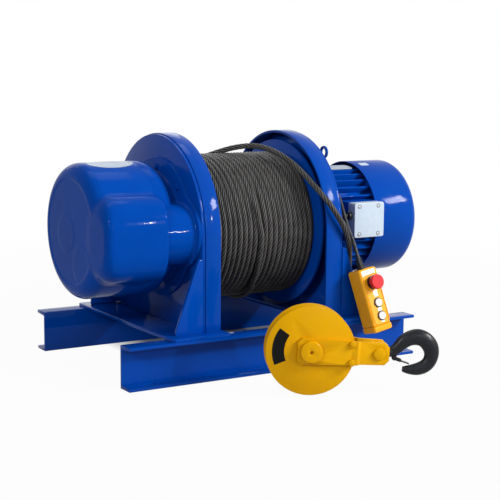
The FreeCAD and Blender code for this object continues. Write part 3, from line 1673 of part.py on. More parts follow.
def oval(x, z, heading, wide, flat):
    """One oval section of the hook, square to its centre line."""
    side = Vector(-heading.z, 0, heading.x)
    across_way = heading.cross(side)
    points = []
    for step in range(16):
        angle = step * PI / 8
        spoke = side * (wide * math.cos(angle)) + across_way * (flat * math.sin(angle))
        points.append(Vector(x, 0, z) + spoke)
    curve = Part.BSplineCurve()
    curve.interpolate(points, PeriodicFlag=True)
    return Part.Wire(curve.toShape())


def make_hook():
    """The hook as one loft of oval sections along its bent centre line, with shank and latch lug."""
    centre = float(bowl_x)
    collar_start = CROSSHEAD_END + float(running_gap)
    rows = [(collar_start, 0.0, HOOK_LINE[0][2])]
    rows += [(centre + x, z, size) for x, z, size in HOOK_LINE]
    sections = []
    for index, (x, z, size) in enumerate(rows):
        before = rows[max(index - 1, 0)]
        after = rows[min(index + 1, len(rows) - 1)]
        heading = Vector(after[0] - before[0], 0, after[1] - before[1])
        if index < 2:
            heading = Vector(1, 0, 0)
        heading.normalize()
        flat = size * (0.5 if index < 2 else 0.38)
        sections.append(oval(x, z, heading, size / 2, flat))
    bend = Part.makeLoft(sections, True, False)
    start = CROSSHEAD_START - float(nut_length) - 3
    shank_radius = SHANK_HOLE - float(running_gap)
    shank = Part.makeCylinder(shank_radius, collar_start + 2 - start, Vector(start, 0, 0), Vector(1, 0, 0))
    lug_x = centre + LATCH_X
    lug = Part.makeCylinder(LUG_ROUND, 8, Vector(lug_x, -4, LATCH_Z), Vector(0, 1, 0))
    lug = lug.fuse(block(lug_x - LUG_ROUND, lug_x + LUG_ROUND, -4, 4, LATCH_Z, LATCH_Z + 10))
    hole = across(-5, 5, LATCH_PIN + 0.06, lug_x, LATCH_Z)
    return bend.fuse([shank, lug]).cut(hole)


def make_hook_nut():
    """The round nut that keeps the shank in the crosshead."""
    end = CROSSHEAD_START - float(running_gap)
    start = end - float(nut_length)
    along = Vector(1, 0, 0)
    nut = Part.makeCylinder(12.2, float(nut_length), Vector(start, 0, 0), along)
    return nut.cut(Part.makeCylinder(SHANK_HOLE - float(running_gap), 40, Vector(start - 5, 0, 0), along))


LATCH_X = -50.0
LATCH_Z = -12.0
LATCH_PIN = 2.0
LATCH_ANGLE = -16.0
LUG_ROUND = 5.0


def make_latch():
    """The sprung safety latch: two cheeks on a pin, joined by a plate that reaches the point."""
    plate = block(LUG_ROUND + 1.2, 36, -6, 6, -2.2, 0.2)
    cheeks = [block(-3.5, 16, side, side + 1.8, -3.5, 3.5) for side in (-6.0, 4.2)]
    pin = across(-6, 6, LATCH_PIN)
    return plate.fuse(cheeks + [pin])


def latch_place():
    """The latch's place on the hook, closed against the inside of its point."""
    turn = FreeCAD.Rotation(Vector(0, 1, 0), -LATCH_ANGLE)
    on_hook = FreeCAD.Placement(Vector(float(bowl_x) + LATCH_X, 0, LATCH_Z), turn)
    return BLOCK.multiply(on_hook)


shaped("block_covers", make_covers(), BLOCK)
shaped("block_straps", make_straps(), BLOCK)
shaped("block_pin", make_pin(), BLOCK)
shaped("tie_bolts", make_tie_bolts(), BLOCK)
shaped("sheave", make_sheave(), BLOCK)
shaped("crosshead", make_crosshead(), BLOCK)
shaped("hook", make_hook(), BLOCK)
shaped("hook_nut", make_hook_nut(), BLOCK)
shaped("latch", make_latch(), latch_place())


def export():
    """Checks every sub-part and writes it to its own file."""
    doc.recompute()
    doc.recompute()
    for step in doc.Objects:
        if "Invalid" in step.State or "Error" in step.State:
            raise RuntimeError("cannot work out " + step.Label)
    os.makedirs("parts", exist_ok=True)
    for item in PARTS:
        shape = item.Shape
        faults = [state for state in item.State if state in ("Invalid", "Error")]
        if faults or shape.isNull() or not shape.isValid():
            raise RuntimeError("cannot export " + item.Label)
        shape.exportStep("parts/" + item.Label + ".step")
        print(item.Label, round(shape.Volume / 1000, 1), "cm3", len(shape.Solids))
    print("nodes", len(PARTS))
    print("pin of the block", BLOCK.Base, "arm", BLOCK.Rotation.multVec(Vector(1, 0, 0)))
    print("across the block", BLOCK.Rotation.multVec(Vector(0, 1, 0)))
    print("latch pin", BLOCK.multVec(Vector(float(bowl_x) + LATCH_X, 0, LATCH_Z)))
    print("inward", PENDANT.Rotation.multVec(Vector(0, 1, 0)))
    print("shafts", LAY_AXIS, MIDDLE_AXIS)


export()
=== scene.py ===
import bpy
import json
import math
from mathutils import Matrix, Vector


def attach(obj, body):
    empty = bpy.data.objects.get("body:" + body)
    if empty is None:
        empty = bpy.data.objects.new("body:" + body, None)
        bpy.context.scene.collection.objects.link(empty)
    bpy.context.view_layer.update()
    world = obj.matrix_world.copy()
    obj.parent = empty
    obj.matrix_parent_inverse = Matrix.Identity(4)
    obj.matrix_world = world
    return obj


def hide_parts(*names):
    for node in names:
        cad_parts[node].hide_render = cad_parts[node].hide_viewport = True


# Electric rope winch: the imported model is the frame, and this script dresses it.
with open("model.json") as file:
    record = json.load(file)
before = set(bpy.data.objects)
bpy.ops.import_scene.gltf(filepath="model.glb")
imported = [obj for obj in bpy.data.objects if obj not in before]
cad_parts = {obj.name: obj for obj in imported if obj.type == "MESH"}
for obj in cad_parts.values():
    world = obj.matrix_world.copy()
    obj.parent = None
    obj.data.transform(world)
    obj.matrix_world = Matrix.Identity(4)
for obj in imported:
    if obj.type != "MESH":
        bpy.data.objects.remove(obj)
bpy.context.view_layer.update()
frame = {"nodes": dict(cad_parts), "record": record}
scene = bpy.context.scene
print("frame loaded,", len(frame["nodes"]), "nodes")


# camera at the photograph's place
camera = {
    "place": (-1.6386, -2.782, 0.727),
    "azimuth": -31.6087,
    "elevation": 8.373,
    "roll": 0.4534,
    "lens": 93.0,
    "shift": 0.0065,
}


def makeCamera(look):
    azimuth = math.radians(look["azimuth"])
    elevation = math.radians(look["elevation"])
    roll = math.radians(look["roll"])
    level = math.cos(elevation)
    back = Vector((math.sin(azimuth) * level, -math.cos(azimuth) * level, math.sin(elevation)))
    right = (-back).cross(Vector((0, 0, 1))).normalized()
    up = right.cross(-back)
    tiltedRight = right * math.cos(roll) + up * math.sin(roll)
    tiltedUp = up * math.cos(roll) - right * math.sin(roll)
    turn = Matrix((tiltedRight, tiltedUp, back)).transposed()
    data = bpy.data.cameras.new("camera")
    data.lens = look["lens"]
    data.sensor_width = 36
    data.shift_y = look["shift"]
    data.clip_end = 50
    item = bpy.data.objects.new("camera", data)
    item.matrix_world = Matrix.Translation(look["place"]) @ turn.to_4x4()
    scene.collection.objects.link(item)
    scene.camera = item


makeCamera(camera)
print("camera made")


class Wire:
    # one output of a shader node, so that a pattern is written as a sum

    def __init__(self, tree, out):
        self.tree = tree
        self.out = out

    def maths(self, operation, first, second):
        node = self.tree.nodes.new("ShaderNodeMath")
        node.operation = operation
        for place, value in enumerate((first, second)):
            if isinstance(value, Wire):
                self.tree.links.new(value.out, node.inputs[place])
            else:
                node.inputs[place].default_value = value
        return Wire(self.tree, node.outputs[0])

    def beside(self, name):
        # another output of the same node
        return Wire(self.tree, self.out.node.outputs[name])

    def __add__(self, other):
        return self.maths("ADD", self, other)

    def __radd__(self, other):
        return self.maths("ADD", other, self)

    def __sub__(self, other):
        return self.maths("SUBTRACT", self, other)

    def __rsub__(self, other):
        return self.maths("SUBTRACT", other, self)

    def __mul__(self, other):
        return self.maths("MULTIPLY", self, other)

    def __rmul__(self, other):
        return self.maths("MULTIPLY", other, self)


class Nodes:
    # the nodes of one tree

    def __init__(self, tree):
        self.tree = tree

    def add(self, kind, settings, sockets, output=0):
        # settings come before the values or links of sockets, and an end node has no output to give
        node = self.tree.nodes.new(kind)
        for name, value in settings.items():
            if name == "stops":
                for stop, (place, level) in zip(node.color_ramp.elements, value):
                    stop.position = place
                    stop.color = (level, level, level, 1)
            else:
                setattr(node, name, value)
        for name, value in sockets.items():
            if isinstance(value, Wire):
                self.tree.links.new(value.out, node.inputs[name])
            else:
                node.inputs[name].default_value = value
        return Wire(self.tree, node.outputs[output]) if node.outputs else None


# the colour sockets of a Mix node go by number, because their names repeat
mixSockets = {"mask": 0, "first": 6, "second": 7, "result": 2}


class Finish(Nodes):
    # a material of one principled shader, with patterns in object space

    def __init__(self, name, fixed):
        self.material = bpy.data.materials.new(name)
        self.material.use_nodes = True
        super().__init__(self.material.node_tree)
        self.shader = self.tree.nodes["Principled BSDF"]
        for socket, value in fixed.items():
            self.shader.inputs[socket].default_value = value
        self.where = self.add("ShaderNodeTexCoord", {}, {}, "Object")

    def noise(self, scale, detail=2.0, roughness=0.5, where=None):
        spots = {"Vector": where or self.where, "Scale": scale, "Detail": detail, "Roughness": roughness}
        return self.add("ShaderNodeTexNoise", {}, spots, "Fac")

    def stretched(self, scale):
        # the object's coordinates drawn out along an axis
        sockets = {"Vector": self.where, "Scale": scale}
        return self.add("ShaderNodeMapping", {"vector_type": "POINT"}, sockets)

    def spots(self, scale, low, high, detail=4.0):
        # a mask that is 1 where the noise is over the high level
        levels = {"stops": ((low, 0.0), (high, 1.0))}
        return self.add("ShaderNodeValToRGB", levels, {"Fac": self.noise(scale, detail, 0.6)})

    def mixed(self, mask, first, second):
        sockets = {mixSockets["mask"]: mask, mixSockets["first"]: first, mixSockets["second"]: second}
        return self.add("ShaderNodeMix", {"data_type": "RGBA"}, sockets, mixSockets["result"])

    def feed(self, socket, wire):
        self.tree.links.new(wire.out, self.shader.inputs[socket])

    def bump(self, height, strength, distance):
        relief = {"Height": height, "Strength": strength, "Distance": distance}
        self.feed("Normal", self.add("ShaderNodeBump", {}, relief, "Normal"))


def tone(red, green, blue):
    # a colour as it is read from the photograph, 0 to 255
    levels = []
    for level in (red, green, blue):
        share = level / 255
        levels.append(share / 12.92 if share <= 0.04045 else ((share + 0.055) / 1.055) ** 2.4)
    return (levels[0], levels[1], levels[2], 1.0)


def paintFinish(name, look):
    # brushed or sprayed enamel: soft waves, fine orange peel, dust in patches and a few scuffs
    finish = Finish(name, {"Metallic": 0.0, "Specular IOR Level": look["shine"]})
    drift = finish.noise(5.0, 3.0, 0.6)
    dust = finish.spots(look["dustScale"], 0.5, 0.78, 6.0)
    base = finish.mixed(drift, look["deep"], look["colour"])
    dusty = finish.mixed(dust * look["dust"], base, look["dustColour"])
    scuffs = finish.spots(look["scuffScale"], 0.69, 0.74, 8.0)
    finish.feed("Base Color", finish.mixed(scuffs * look["scuffs"], dusty, look["scuffColour"]))
    finish.feed("Roughness", look["roughness"] + dust * 0.12 + scuffs * 0.15)
    waves = finish.noise(look["waveScale"], 2.0, 0.5)
    peel = finish.noise(420.0, 1.0, 0.5)
    finish.bump(waves + peel * look["peel"], look["relief"], look["waveHeight"])
    return finish.material


bluePaint = {
    "colour": tone(0, 70, 168),
    "deep": tone(0, 58, 146),
    "dust": 0.10,
    "dustScale": 26.0,
    "dustColour": tone(20, 84, 140),
    "scuffs": 0.3,
    "scuffScale": 60.0,
    "scuffColour": tone(0, 34, 90),
    "shine": 0.07,
    "roughness": 0.07,
    "waveScale": 22.0,
    "peel": 0.05,
    "relief": 0.14,
    "waveHeight": 0.0016,
}
castPaint = dict(bluePaint, shine=0.022, waveScale=30.0, relief=0.2, waveHeight=0.0018)
yellowPaint = {
    "colour": tone(222, 165, 0),
    "deep": tone(210, 152, 0),
    "dust": 0.12,
    "dustScale": 30.0,
    "dustColour": tone(190, 140, 30),
    "scuffs": 0.7,
    "scuffScale": 75.0,
    "scuffColour": tone(96, 74, 30),
    "shine": 0.1,
    "roughness": 0.25,
    "waveScale": 40.0,
    "peel": 0.08,
    "relief": 0.3,
    "waveHeight": 0.0008,
}


def metalFinish(name, look):
    # metal with tool marks drawn out along one axis and stains in patches; on rope, painted shade in the
    # grooves between the strands
    finish = Finish(name, {"Metallic": look["metal"], "Specular IOR Level": look["shine"]})
    grain = finish.noise(look["grainScale"], 2.0, 0.6, finish.stretched(look["grain"]))
    stains = finish.spots(look["stainScale"], 0.45, 0.75, 6.0)
    base = finish.mixed(grain, look["colour"], look["light"])
    # painted shade: the grooves and sides of the strands are darkened where shade falls
    if look["groove"]:
        groove = finish.add("ShaderNodeAttribute", {"attribute_name": "groove"}, {}, "Fac")
        base = finish.mixed(groove * look["groove"], base, look["grooveShadeColour"])
    finish.feed("Base Color", finish.mixed(stains * look["stains"], base, look["stainColour"]))
    finish.feed("Roughness", look["roughness"] + grain * 0.12 + stains * 0.15)
    finish.bump(grain, look["relief"], look["depth"])
    return finish.material


machinedSteel = {
    "metal": 0.95,
    "shine": 0.5,
    "colour": tone(150, 152, 156),
    "light": tone(205, 206, 208),
    "grainScale": 260.0,
    "grain": (6.0, 1.0, 1.0),
    "stains": 0.25,
    "stainScale": 22.0,
    "stainColour": tone(96, 84, 70),
    "roughness": 0.28,
    "relief": 0.15,
    "depth": 0.0002,
    "groove": 0.0,
    "grooveShadeColour": tone(6, 6, 6),
}
zincSteel = dict(
    machinedSteel, colour=tone(165, 168, 172), light=tone(214, 216, 218), grain=(1.0, 1.0, 1.0),
)
# the rope's finish paints shade into the grooves between its strands
ropeSteel = dict(
    zincSteel, metal=0.0, shine=0.35, colour=tone(44, 43, 43), light=tone(116, 114, 112),
    grainScale=900.0, stains=0.75, stainScale=38.0, stainColour=tone(14, 12, 11), roughness=0.32,
    relief=0.5, depth=0.0003, groove=1.0,
)
# a far darker copy of the rope steel: painted shade for the lower layers seen in the gaps between the wraps
ropeShadeSteel = dict(ropeSteel, colour=tone(12, 11, 10), light=tone(24, 21, 19), roughness=0.6, groove=0.0)
forgedSteel = dict(
    zincSteel, metal=0.0, shine=0.22, colour=tone(10, 11, 14), light=tone(30, 33, 39), grainScale=55.0,
    stains=0.5, stainScale=70.0, stainColour=tone(14, 15, 18), roughness=0.26, relief=0.55, depth=0.0016,
)
strandSteel = dict(
    ropeSteel, metal=0.8, shine=0.5, colour=tone(84, 88, 92), light=tone(150, 156, 162), stains=0.5,
)
copperWire = dict(machinedSteel, colour=tone(128, 62, 34), light=tone(184, 108, 66))
plainAluminium = dict(
    machinedSteel, metal=0.2, shine=0.2, colour=tone(150, 164, 180), light=tone(184, 194, 206),
    grain=(0.3, 3.0, 3.0), roughness=0.4,
)


def plasticFinish(name, look):
    # moulded plastic or rubber with a fine grain and a little handling dirt
    finish = Finish(name, {"Metallic": 0.0, "Specular IOR Level": look["shine"]})
    grime = finish.spots(look["grimeScale"], 0.5, 0.8, 6.0)
    base = finish.mixed(finish.noise(9.0, 2.0), look["colour"], look["shade"])
    finish.feed("Base Color", finish.mixed(grime * look["grime"], base, look["grimeColour"]))
    finish.feed("Roughness", look["roughness"] + grime * 0.15)
    finish.bump(finish.noise(look["grainScale"], 3.0, 0.6), look["relief"], look["depth"])
    return finish.material


yellowPlastic = {
    "colour": tone(252, 176, 0),
    "shade": tone(240, 160, 0),
    "grime": 0.25,
    "grimeScale": 60.0,
    "grimeColour": tone(200, 128, 10),
    "grainScale": 1400.0,
    "relief": 0.2,
    "depth": 0.0003,
    "roughness": 0.34,
    "shine": 0.4,
}
redPlastic = dict(yellowPlastic, colour=tone(214, 40, 48), shade=tone(200, 34, 42),
                  grimeColour=tone(150, 20, 28), shine=0.2)
whitePlastic = dict(yellowPlastic, colour=tone(238, 238, 240), shade=tone(226, 226, 230),
                    grimeColour=tone(180, 178, 172))
# a darker grey for the discs under the terminal box's screws: painted shade of a recess
pocketShadePlastic = dict(yellowPlastic, colour=tone(128, 140, 152), shade=tone(112, 124, 136),
                     grimeColour=tone(80, 86, 92), roughness=0.6)
greyPlastic = dict(yellowPlastic, colour=tone(186, 199, 212), shade=tone(178, 192, 207),
                   grimeColour=tone(140, 150, 160), roughness=0.42)
blackPlastic = dict(yellowPlastic, colour=tone(22, 22, 24), shade=tone(30, 30, 33),
                    grimeColour=tone(54, 52, 50))
patchPlastic = dict(blackPlastic, colour=tone(8, 8, 9), shade=tone(12, 12, 13),
                    grimeColour=tone(24, 22, 20), shine=0.1)
blackRubber = dict(blackPlastic, roughness=0.5, grainScale=900.0, relief=0.3, shine=0.3)
frictionLining = dict(blackPlastic, colour=tone(88, 84, 78), shade=tone(70, 66, 62), roughness=0.8)

finishes = {
    "blue_paint": paintFinish("bluePaint", bluePaint),
    "yellow_paint": paintFinish("yellowPaint", yellowPaint),
    "machined_steel": metalFinish("machinedSteel", machinedSteel),
    "black_steel": metalFinish("forgedSteel", forgedSteel),
    "rope_steel": metalFinish("ropeSteel", ropeSteel),
    "zinc_steel": metalFinish("zincSteel", zincSteel),
    "grey_plastic": plasticFinish("greyPlastic", greyPlastic),
    "yellow_plastic": plasticFinish("yellowPlastic", yellowPlastic),
    "red_plastic": plasticFinish("redPlastic", redPlastic),
    "white_plastic": plasticFinish("whitePlastic", whitePlastic),
    "black_rubber": plasticFinish("blackRubber", blackRubber),
    "copper_winding": metalFinish("copperWire", copperWire),
    "black_plastic": plasticFinish("blackPlastic", blackPlastic),
    "friction_lining": plasticFinish("frictionLining", frictionLining),
}
castFinish = paintFinish("castPaint", castPaint)
ropeShadeFinish = metalFinish("ropeShadeCore", ropeShadeSteel)
plateFinish = metalFinish("plainAluminium", plainAluminium)
strandFinish = metalFinish("strandSteel", strandSteel)
pocketShadeFinish = plasticFinish("pocketShadePlastic", pocketShadePlastic)
patchFinish = plasticFinish("blackPatch", patchPlastic)

# nodes whose finish is not that of their slot: castings, painted bolts and a blackened latch
otherFinishes = {
    "motor_frame": castFinish,
    "motor_front_shield": castFinish,
    "motor_rear_shield": castFinish,
    "tie_bolts": finishes["yellow_paint"],
    "latch": finishes["black_steel"],
}
for part in frame["record"]["subparts"]:
    shape = frame["nodes"][part["node"]].data
    shape.materials.clear()
    shape.materials.append(otherFinishes.get(part["node"], finishes[part["material_slot"]]))
print("finishes made and laid on the nodes")


def softEdgeGroup(limit):
    # smooth shading everywhere but at edges that turn by more than a limit
    group = bpy.data.node_groups.new("softEdges", "GeometryNodeTree")
    for way in ("INPUT", "OUTPUT"):
        group.interface.new_socket("Geometry", in_out=way, socket_type="NodeSocketGeometry")
    nodes = Nodes(group)
    start = nodes.add("NodeGroupInput", {}, {})
    faces = nodes.add("GeometryNodeSetShadeSmooth", {}, {0: start})
    turn = nodes.add("GeometryNodeInputMeshEdgeAngle", {}, {})
    flat = nodes.add("FunctionNodeCompare", {"operation": "LESS_EQUAL"}, {0: turn, 1: math.radians(limit)})
    edges = nodes.add("GeometryNodeSetShadeSmooth", {"domain": "EDGE"}, {0: faces, "Shade Smooth": flat})
    nodes.add("NodeGroupOutput", {}, {0: edges})
    return group


edges = {"smoothLimit": 28, "bevelLimit": 32, "flatLimit": 0.4, "weld": 0.000004, "segments": 2}
softEdges = softEdgeGroup(edges["smoothLimit"])

# how far the edges are broken, in metres, and the nodes that this is for
edgeWidths = (
    (0.0015, ["motor_front_shield"]),
    (0.0012, ["beam_front", "beam_rear", "motor_rear_shield", "bearing_hubs", "crosshead"]),
    (0.0010, ["base_plates", "end_plates", "guard_strips", "gussets", "drum_head_left", "drum_head_right"]),
    (0.0010, ["block_covers", "block_straps"]),
    (0.0009, ["motor_frame"]),
    (0.0008, ["hook_nut"]),
    (0.0006, ["fan_cover", "block_pin", "tie_bolts"]),
    (0.0004, ["terminal_box"]),
    (0.0003, ["latch", "cable_gland"]),
)


def breakEdges(name, width):
    piece = frame["nodes"][name]
    if "custom_normal" in piece.data.attributes:
        piece.data.attributes.remove(piece.data.attributes["custom_normal"])
    weld = piece.modifiers.new("weld", "WELD")
    weld.merge_threshold = edges["weld"]
    flat = piece.modifiers.new("flatFaces", "DECIMATE")
    flat.decimate_type = "DISSOLVE"
    flat.angle_limit = math.radians(edges["flatLimit"])
    bevel = piece.modifiers.new("brokenEdges", "BEVEL")
    bevel.limit_method = "ANGLE"
    bevel.angle_limit = math.radians(edges["bevelLimit"])
    bevel.width = width
    bevel.segments = edges["segments"]
    shade = piece.modifiers.new("softEdges", "NODES")
    shade.node_group = softEdges


for width, names in edgeWidths:
    for name in names:
        breakEdges(name, width)
print("edges broken")


def circle(count):
    # cosines and sines once round
    for step in range(count):
        angle = step * 2 * math.pi / count
        yield math.cos(angle), math.sin(angle)


class Form:
    # points and faces gathered from several closed forms, made into one piece at the end

    def __init__(self):
        self.points = []
        self.faces = []

    def rings(self, rings, closed=False, place=None):
        # skins a row of rings with the same number of points, capped at both ends unless it closes
        first = len(self.points)
        count = len(rings[0])
        for ring in rings:
            self.points += [place @ Vector(point) if place else Vector(point) for point in ring]
        last = len(rings) if closed else len(rings) - 1
        for row in range(last):
            here = first + row * count
            there = first + ((row + 1) % len(rings)) * count
            for step in range(count):
                following = (step + 1) % count
                self.faces.append((here + step, here + following, there + following, there + step))
        if not closed:
            self.faces.append(tuple(first + step for step in reversed(range(count))))
            self.faces.append(tuple(first + (len(rings) - 1) * count + step for step in range(count)))

    def turned(self, profile, count, place):
        # turns (along, radius) pairs about the local z axis
        rings = []
        for along, radius in profile:
            rings.append([(radius * across, radius * up, along) for across, up in circle(count)])
        self.rings(rings, False, place)

    def make(self, name, finish, body, replaced=(), sharp=35):
        # one mesh of all that was gathered
        mesh = bpy.data.meshes.new(name)
        mesh.from_pydata([tuple(point) for point in self.points], [], self.faces)
        mesh.validate()
        mesh.update()
        mesh.polygons.foreach_set("use_smooth", [True] * len(mesh.polygons))
        mesh.set_sharp_from_angle(angle=math.radians(sharp))
        mesh.materials.append(finish)
        piece = bpy.data.objects.new(name, mesh)
        scene.collection.objects.link(piece)
        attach(piece, body)
        if replaced:
            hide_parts(*replaced)
        return piece


def eased(share):
    # goes smoothly from 0 to 1
    share = min(1.0, max(0.0, share))
    return share * share * (3 - 2 * share)


def facing(spot, direction, spin=0.0):
    # a frame whose z axis points a given way
    turn = Vector(direction).to_track_quat("Z", "Y").to_matrix().to_4x4()
    return Matrix.Translation(spot) @ turn @ Matrix.Rotation(spin, 4, "Z")


# The cords, on the same points as the solids
pendant = {
    "place": (0.2345, -0.284, 0.235),
    "yaw": -0.9,
    "lean": -13.9,
    "tilt": -10.3,
    "width": 0.054,
    "depth": 0.051,
    "bootHeight": 0.030,
}
pendantFrame = (
    Matrix.Translation(pendant["place"])
    @ Matrix.Rotation(math.radians(pendant["yaw"]), 4, "Z")
    @ Matrix.Rotation(math.radians(pendant["lean"]), 4, "X")
    @ Matrix.Rotation(math.radians(pendant["tilt"]), 4, "Y")
)


def onPendant(x, y, z):
    return tuple(pendantFrame @ Vector((x, y, z)))


coil = {
    "x": 0.255,
    "y": 0.070,
    "radius": 0.048,
    "turns": 3.5,
    "sides": 8,
    "lead": 0.020,
    "low": 0.1125,
    "rise": 0.0093,
}


def coilPoints(look):
    count = int(look["turns"] * look["sides"])
    step = look["rise"] / look["sides"]
    reach = look["radius"] / math.cos(math.pi / look["sides"])
    points = [(look["x"] - look["radius"], look["y"] - look["lead"], look["low"])]
    for index in range(count):
        angle = math.pi - (index + 0.5) * 2 * math.pi / look["sides"]
        x = look["x"] + reach * math.cos(angle)
        y = look["y"] + reach * math.sin(angle)
        points.append((x, y, look["low"] + step * index))
    points.append((look["x"] + look["radius"], look["y"] - look["lead"], look["low"] + step * (count - 1)))
    return points


bootTip = onPendant(0, pendant["depth"] / 2, pendant["bootHeight"])
cableCoil = coilPoints(coil)
cablePoints = [
    bootTip,
    onPendant(0, pendant["depth"] / 2, 0.058),
    (0.221, -0.228, 0.316),
    (0.2185, -0.209, 0.3515),
    (0.2115, -0.196, 0.400),
    (0.2095, -0.177, 0.420),
    (0.2095, -0.151, 0.420),
    (0.211, -0.132, 0.400),
    (0.212, -0.1295, 0.365),
    (0.2125, -0.132, 0.320),
    (0.212, -0.137, 0.275),
    (0.2125, -0.136, 0.230),
    (0.211, -0.128, 0.190),
    (0.209, -0.106, 0.150),
    (0.2072, -0.072, 0.123),
    (0.2066, -0.034, 0.1134),
    (0.207, 0.008, 0.1125),
] + cableCoil + [
    (0.303, 0.014, cableCoil[-1][2]),
    (0.299, -0.030, 0.158),
    (0.288, -0.078, 0.176),
    (0.270, -0.119, 0.207),
    (0.249, -0.145, 0.247),
    (0.228, -0.155, 0.268),
    (0.210, -0.161, 0.298),
    (0.2085, -0.1635, 0.331),
    (0.227, -0.165, 0.350),
    (0.258, -0.165, 0.350),
]
wirePoints = [
    onPendant(-0.008, 0.012, -0.0005),
    onPendant(-0.008, 0.012, 0.024),
    (0.220, -0.257, 0.281),
    (0.219, -0.243, 0.308),
    (0.212, -0.227, 0.336),
    (0.205, -0.206, 0.357),
    (0.202, -0.189, 0.369),
]
ropePoints = [
    (-0.052, 0.052, 0.4880),
    (-0.008, 0.014, 0.5085),
    (0.0190, -0.006, 0.5180),
    (0.0460, -0.028, 0.5235),
    (0.068, -0.055, 0.5225),
    (0.088, -0.085, 0.5125),
    (0.108, -0.121, 0.4930),
    (0.123, -0.157, 0.4655),
    (0.1335, -0.1915, 0.4370),
    (0.144, -0.229, 0.4065),
    (0.1625, -0.246, 0.3740),
    (0.186, -0.248, 0.3390),
    (0.2075, -0.241, 0.3050),
    (0.2235, -0.225, 0.2715),
    (0.236, -0.206, 0.2360),
    (0.246, -0.190, 0.1960),
    (0.255, -0.172, 0.1570),
    (0.264, -0.140, 0.1280),
    (0.270, -0.098, 0.1156),
    (0.272, -0.052, 0.1152),
]


def splineCurve(name, points, thickness, resolution):
    data = bpy.data.curves.new(name, "CURVE")
    data.dimensions = "3D"
    spline = data.splines.new("NURBS")
    spline.points.add(len(points) - 1)
    for spot, point in zip(spline.points, points):
        spot.co = (point[0], point[1], point[2], 1)
    spline.order_u = 3
    spline.use_endpoint_u = True
    spline.resolution_u = resolution
    data.resolution_u = resolution
    data.bevel_depth = thickness / 2
    data.bevel_resolution = 6
    data.use_fill_caps = True
    item = bpy.data.objects.new(name, data)
    scene.collection.objects.link(item)
    return item


def splineLine(points, resolution):
    # the points that Blender gives for the route's own spline
    item = splineCurve("routeLine", points, 0.0, resolution)
    bpy.context.view_layer.update()
    mesh = bpy.data.meshes.new_from_object(item.evaluated_get(bpy.context.evaluated_depsgraph_get()))
    line = [vertex.co.copy() for vertex in mesh.vertices]
    bpy.data.meshes.remove(mesh)
    bpy.data.objects.remove(item)
    return line


cable = {"diameter": 0.009, "length": 2.15}
cableRun = splineCurve("pendantCable", cablePoints, cable["diameter"], 10)
cableRun.data.materials.append(finishes["black_rubber"])
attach(cableRun, "frame")
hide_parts("pendant_cable", "cable_coil", "cable_to_box")


# one strand's outer side in degrees about the rope, and how much painted shade each point gets, most where
# it lies in the groove
strandSides = ((-30, 1.0), (-20, 0.93), (-7, 0.15), (7, 0.15), (20, 0.93))


def strandedSection(look, turn):
    # one cross-section of a rope: the outer sides of its strands, and the grooves between them
    section = []
    ring = look["diameter"] / 2 - look["strand"]
    for strand in range(look["strands"]):
        middle = turn + strand * 2 * math.pi / look["strands"]
        for degrees, _ in strandSides:
            angle = math.radians(degrees)
            reach = ring * math.cos(angle) + math.sqrt(look["strand"] ** 2 - (ring * math.sin(angle)) ** 2)
            section.append((reach, middle + angle))
    return section


def strandedRope(line, look, form):
    # a laid rope along a line: its strands turn once in every lay
    rings = []
    travelled = 0.0
    side = None
    for index, point in enumerate(line):
        before = line[max(index - 1, 0)]
        after = line[min(index + 1, len(line) - 1)]
        along = (after - before).normalized()
        if side is None:
            side = along.orthogonal().normalized()
        else:
            side = (side - along * side.dot(along)).normalized()
            travelled += (point - line[index - 1]).length
        other = along.cross(side)
        turn = look["hand"] * travelled / look["lay"] * 2 * math.pi
        ring = []
        for radius, angle in strandedSection(look, turn):
            ring.append(point + side * (radius * math.cos(angle)) + other * (radius * math.sin(angle)))
        rings.append(ring)
    form.rings(rings)


def paintGrooveShade(piece):
    # painted shade: marks how much the finish darkens each point, most in the grooves between the strands
    mark = piece.data.attributes.new("groove", "FLOAT", "POINT")
    depths = [strandSides[index % len(strandSides)][1] for index in range(len(piece.data.vertices))]
    mark.data.foreach_set("value", depths)


rope = {
    "diameter": 0.014,
    "strand": 0.00243,
    "strands": 6,
    "lay": 0.080,
    "hand": 1,
    "length": 0.818,
}
wire = dict(rope, diameter=0.003, strand=0.00053, lay=0.018, length=0.168)


def thinned(line, spacing):
    # drops points so that those left are about a spacing apart
    kept = [line[0]]
    for point in line[1:-1]:
        if (point - kept[-1]).length >= spacing:
            kept.append(point)
    kept.append(line[-1])
    return kept


ropeLine = thinned(splineLine(ropePoints, 16), 0.0028)
tail = Form()
strandedRope(ropeLine, rope, tail)
ropeTail = tail.make("ropeTail", finishes["rope_steel"], "frame", ["rope_tail"], 55)
paintGrooveShade(ropeTail)

# the free end is bound with tape so that the strands stay together
tapeProfile = ((-0.026, 0.0071), (-0.0255, 0.0077), (-0.001, 0.0077), (-0.0003, 0.0071))
endBinding = Form()
endWay = (ropeLine[-1] - ropeLine[-6]).normalized()
endBinding.turned(tapeProfile, 32, facing(ropeLine[-1], endWay))
ropeBinding = endBinding.make("ropeEndBinding", finishes["black_plastic"], "frame")

wireLine = thinned(splineLine(wirePoints, 12), 0.0011)
wireForm = Form()
strandedRope(wireLine, wire, wireForm)
supportWire = wireForm.make("supportWire", strandFinish, "frame", ["support_wire"], 55)
paintGrooveShade(supportWire)
print("cords laid")


# The rope on the drum
winding = {
    "axis": 0.325,
    "middle": 0.1734,
    "half": 0.1424,
    "turns": 21,
    "perTurn": 190,
    "wander": 0.0005,
    "start": 0.6,
    "raisedTurn": 10,
    "raise": 0.0072,
}
woundRope = dict(rope, diameter=0.0146, strand=0.00254)
layers = {"half": 0.1496, "inner": 0.1095, "outer": 0.1735}
# the wrap that has ridden up: degrees from the top, share of the full lift, shift along the drum
raisedPath = (
    (52, 0.0, 0.0),
    (68, 1.0, -0.011),
    (80, 1.0, -0.007),
    (95, 1.0, 0.0),
    (114, 1.0, 0.0),
    (130, 1.0, 0.004),
    (153, 1.2, 0.018),
    (175, 1.2, 0.020),
    (215, 0.0, 0.0),
)


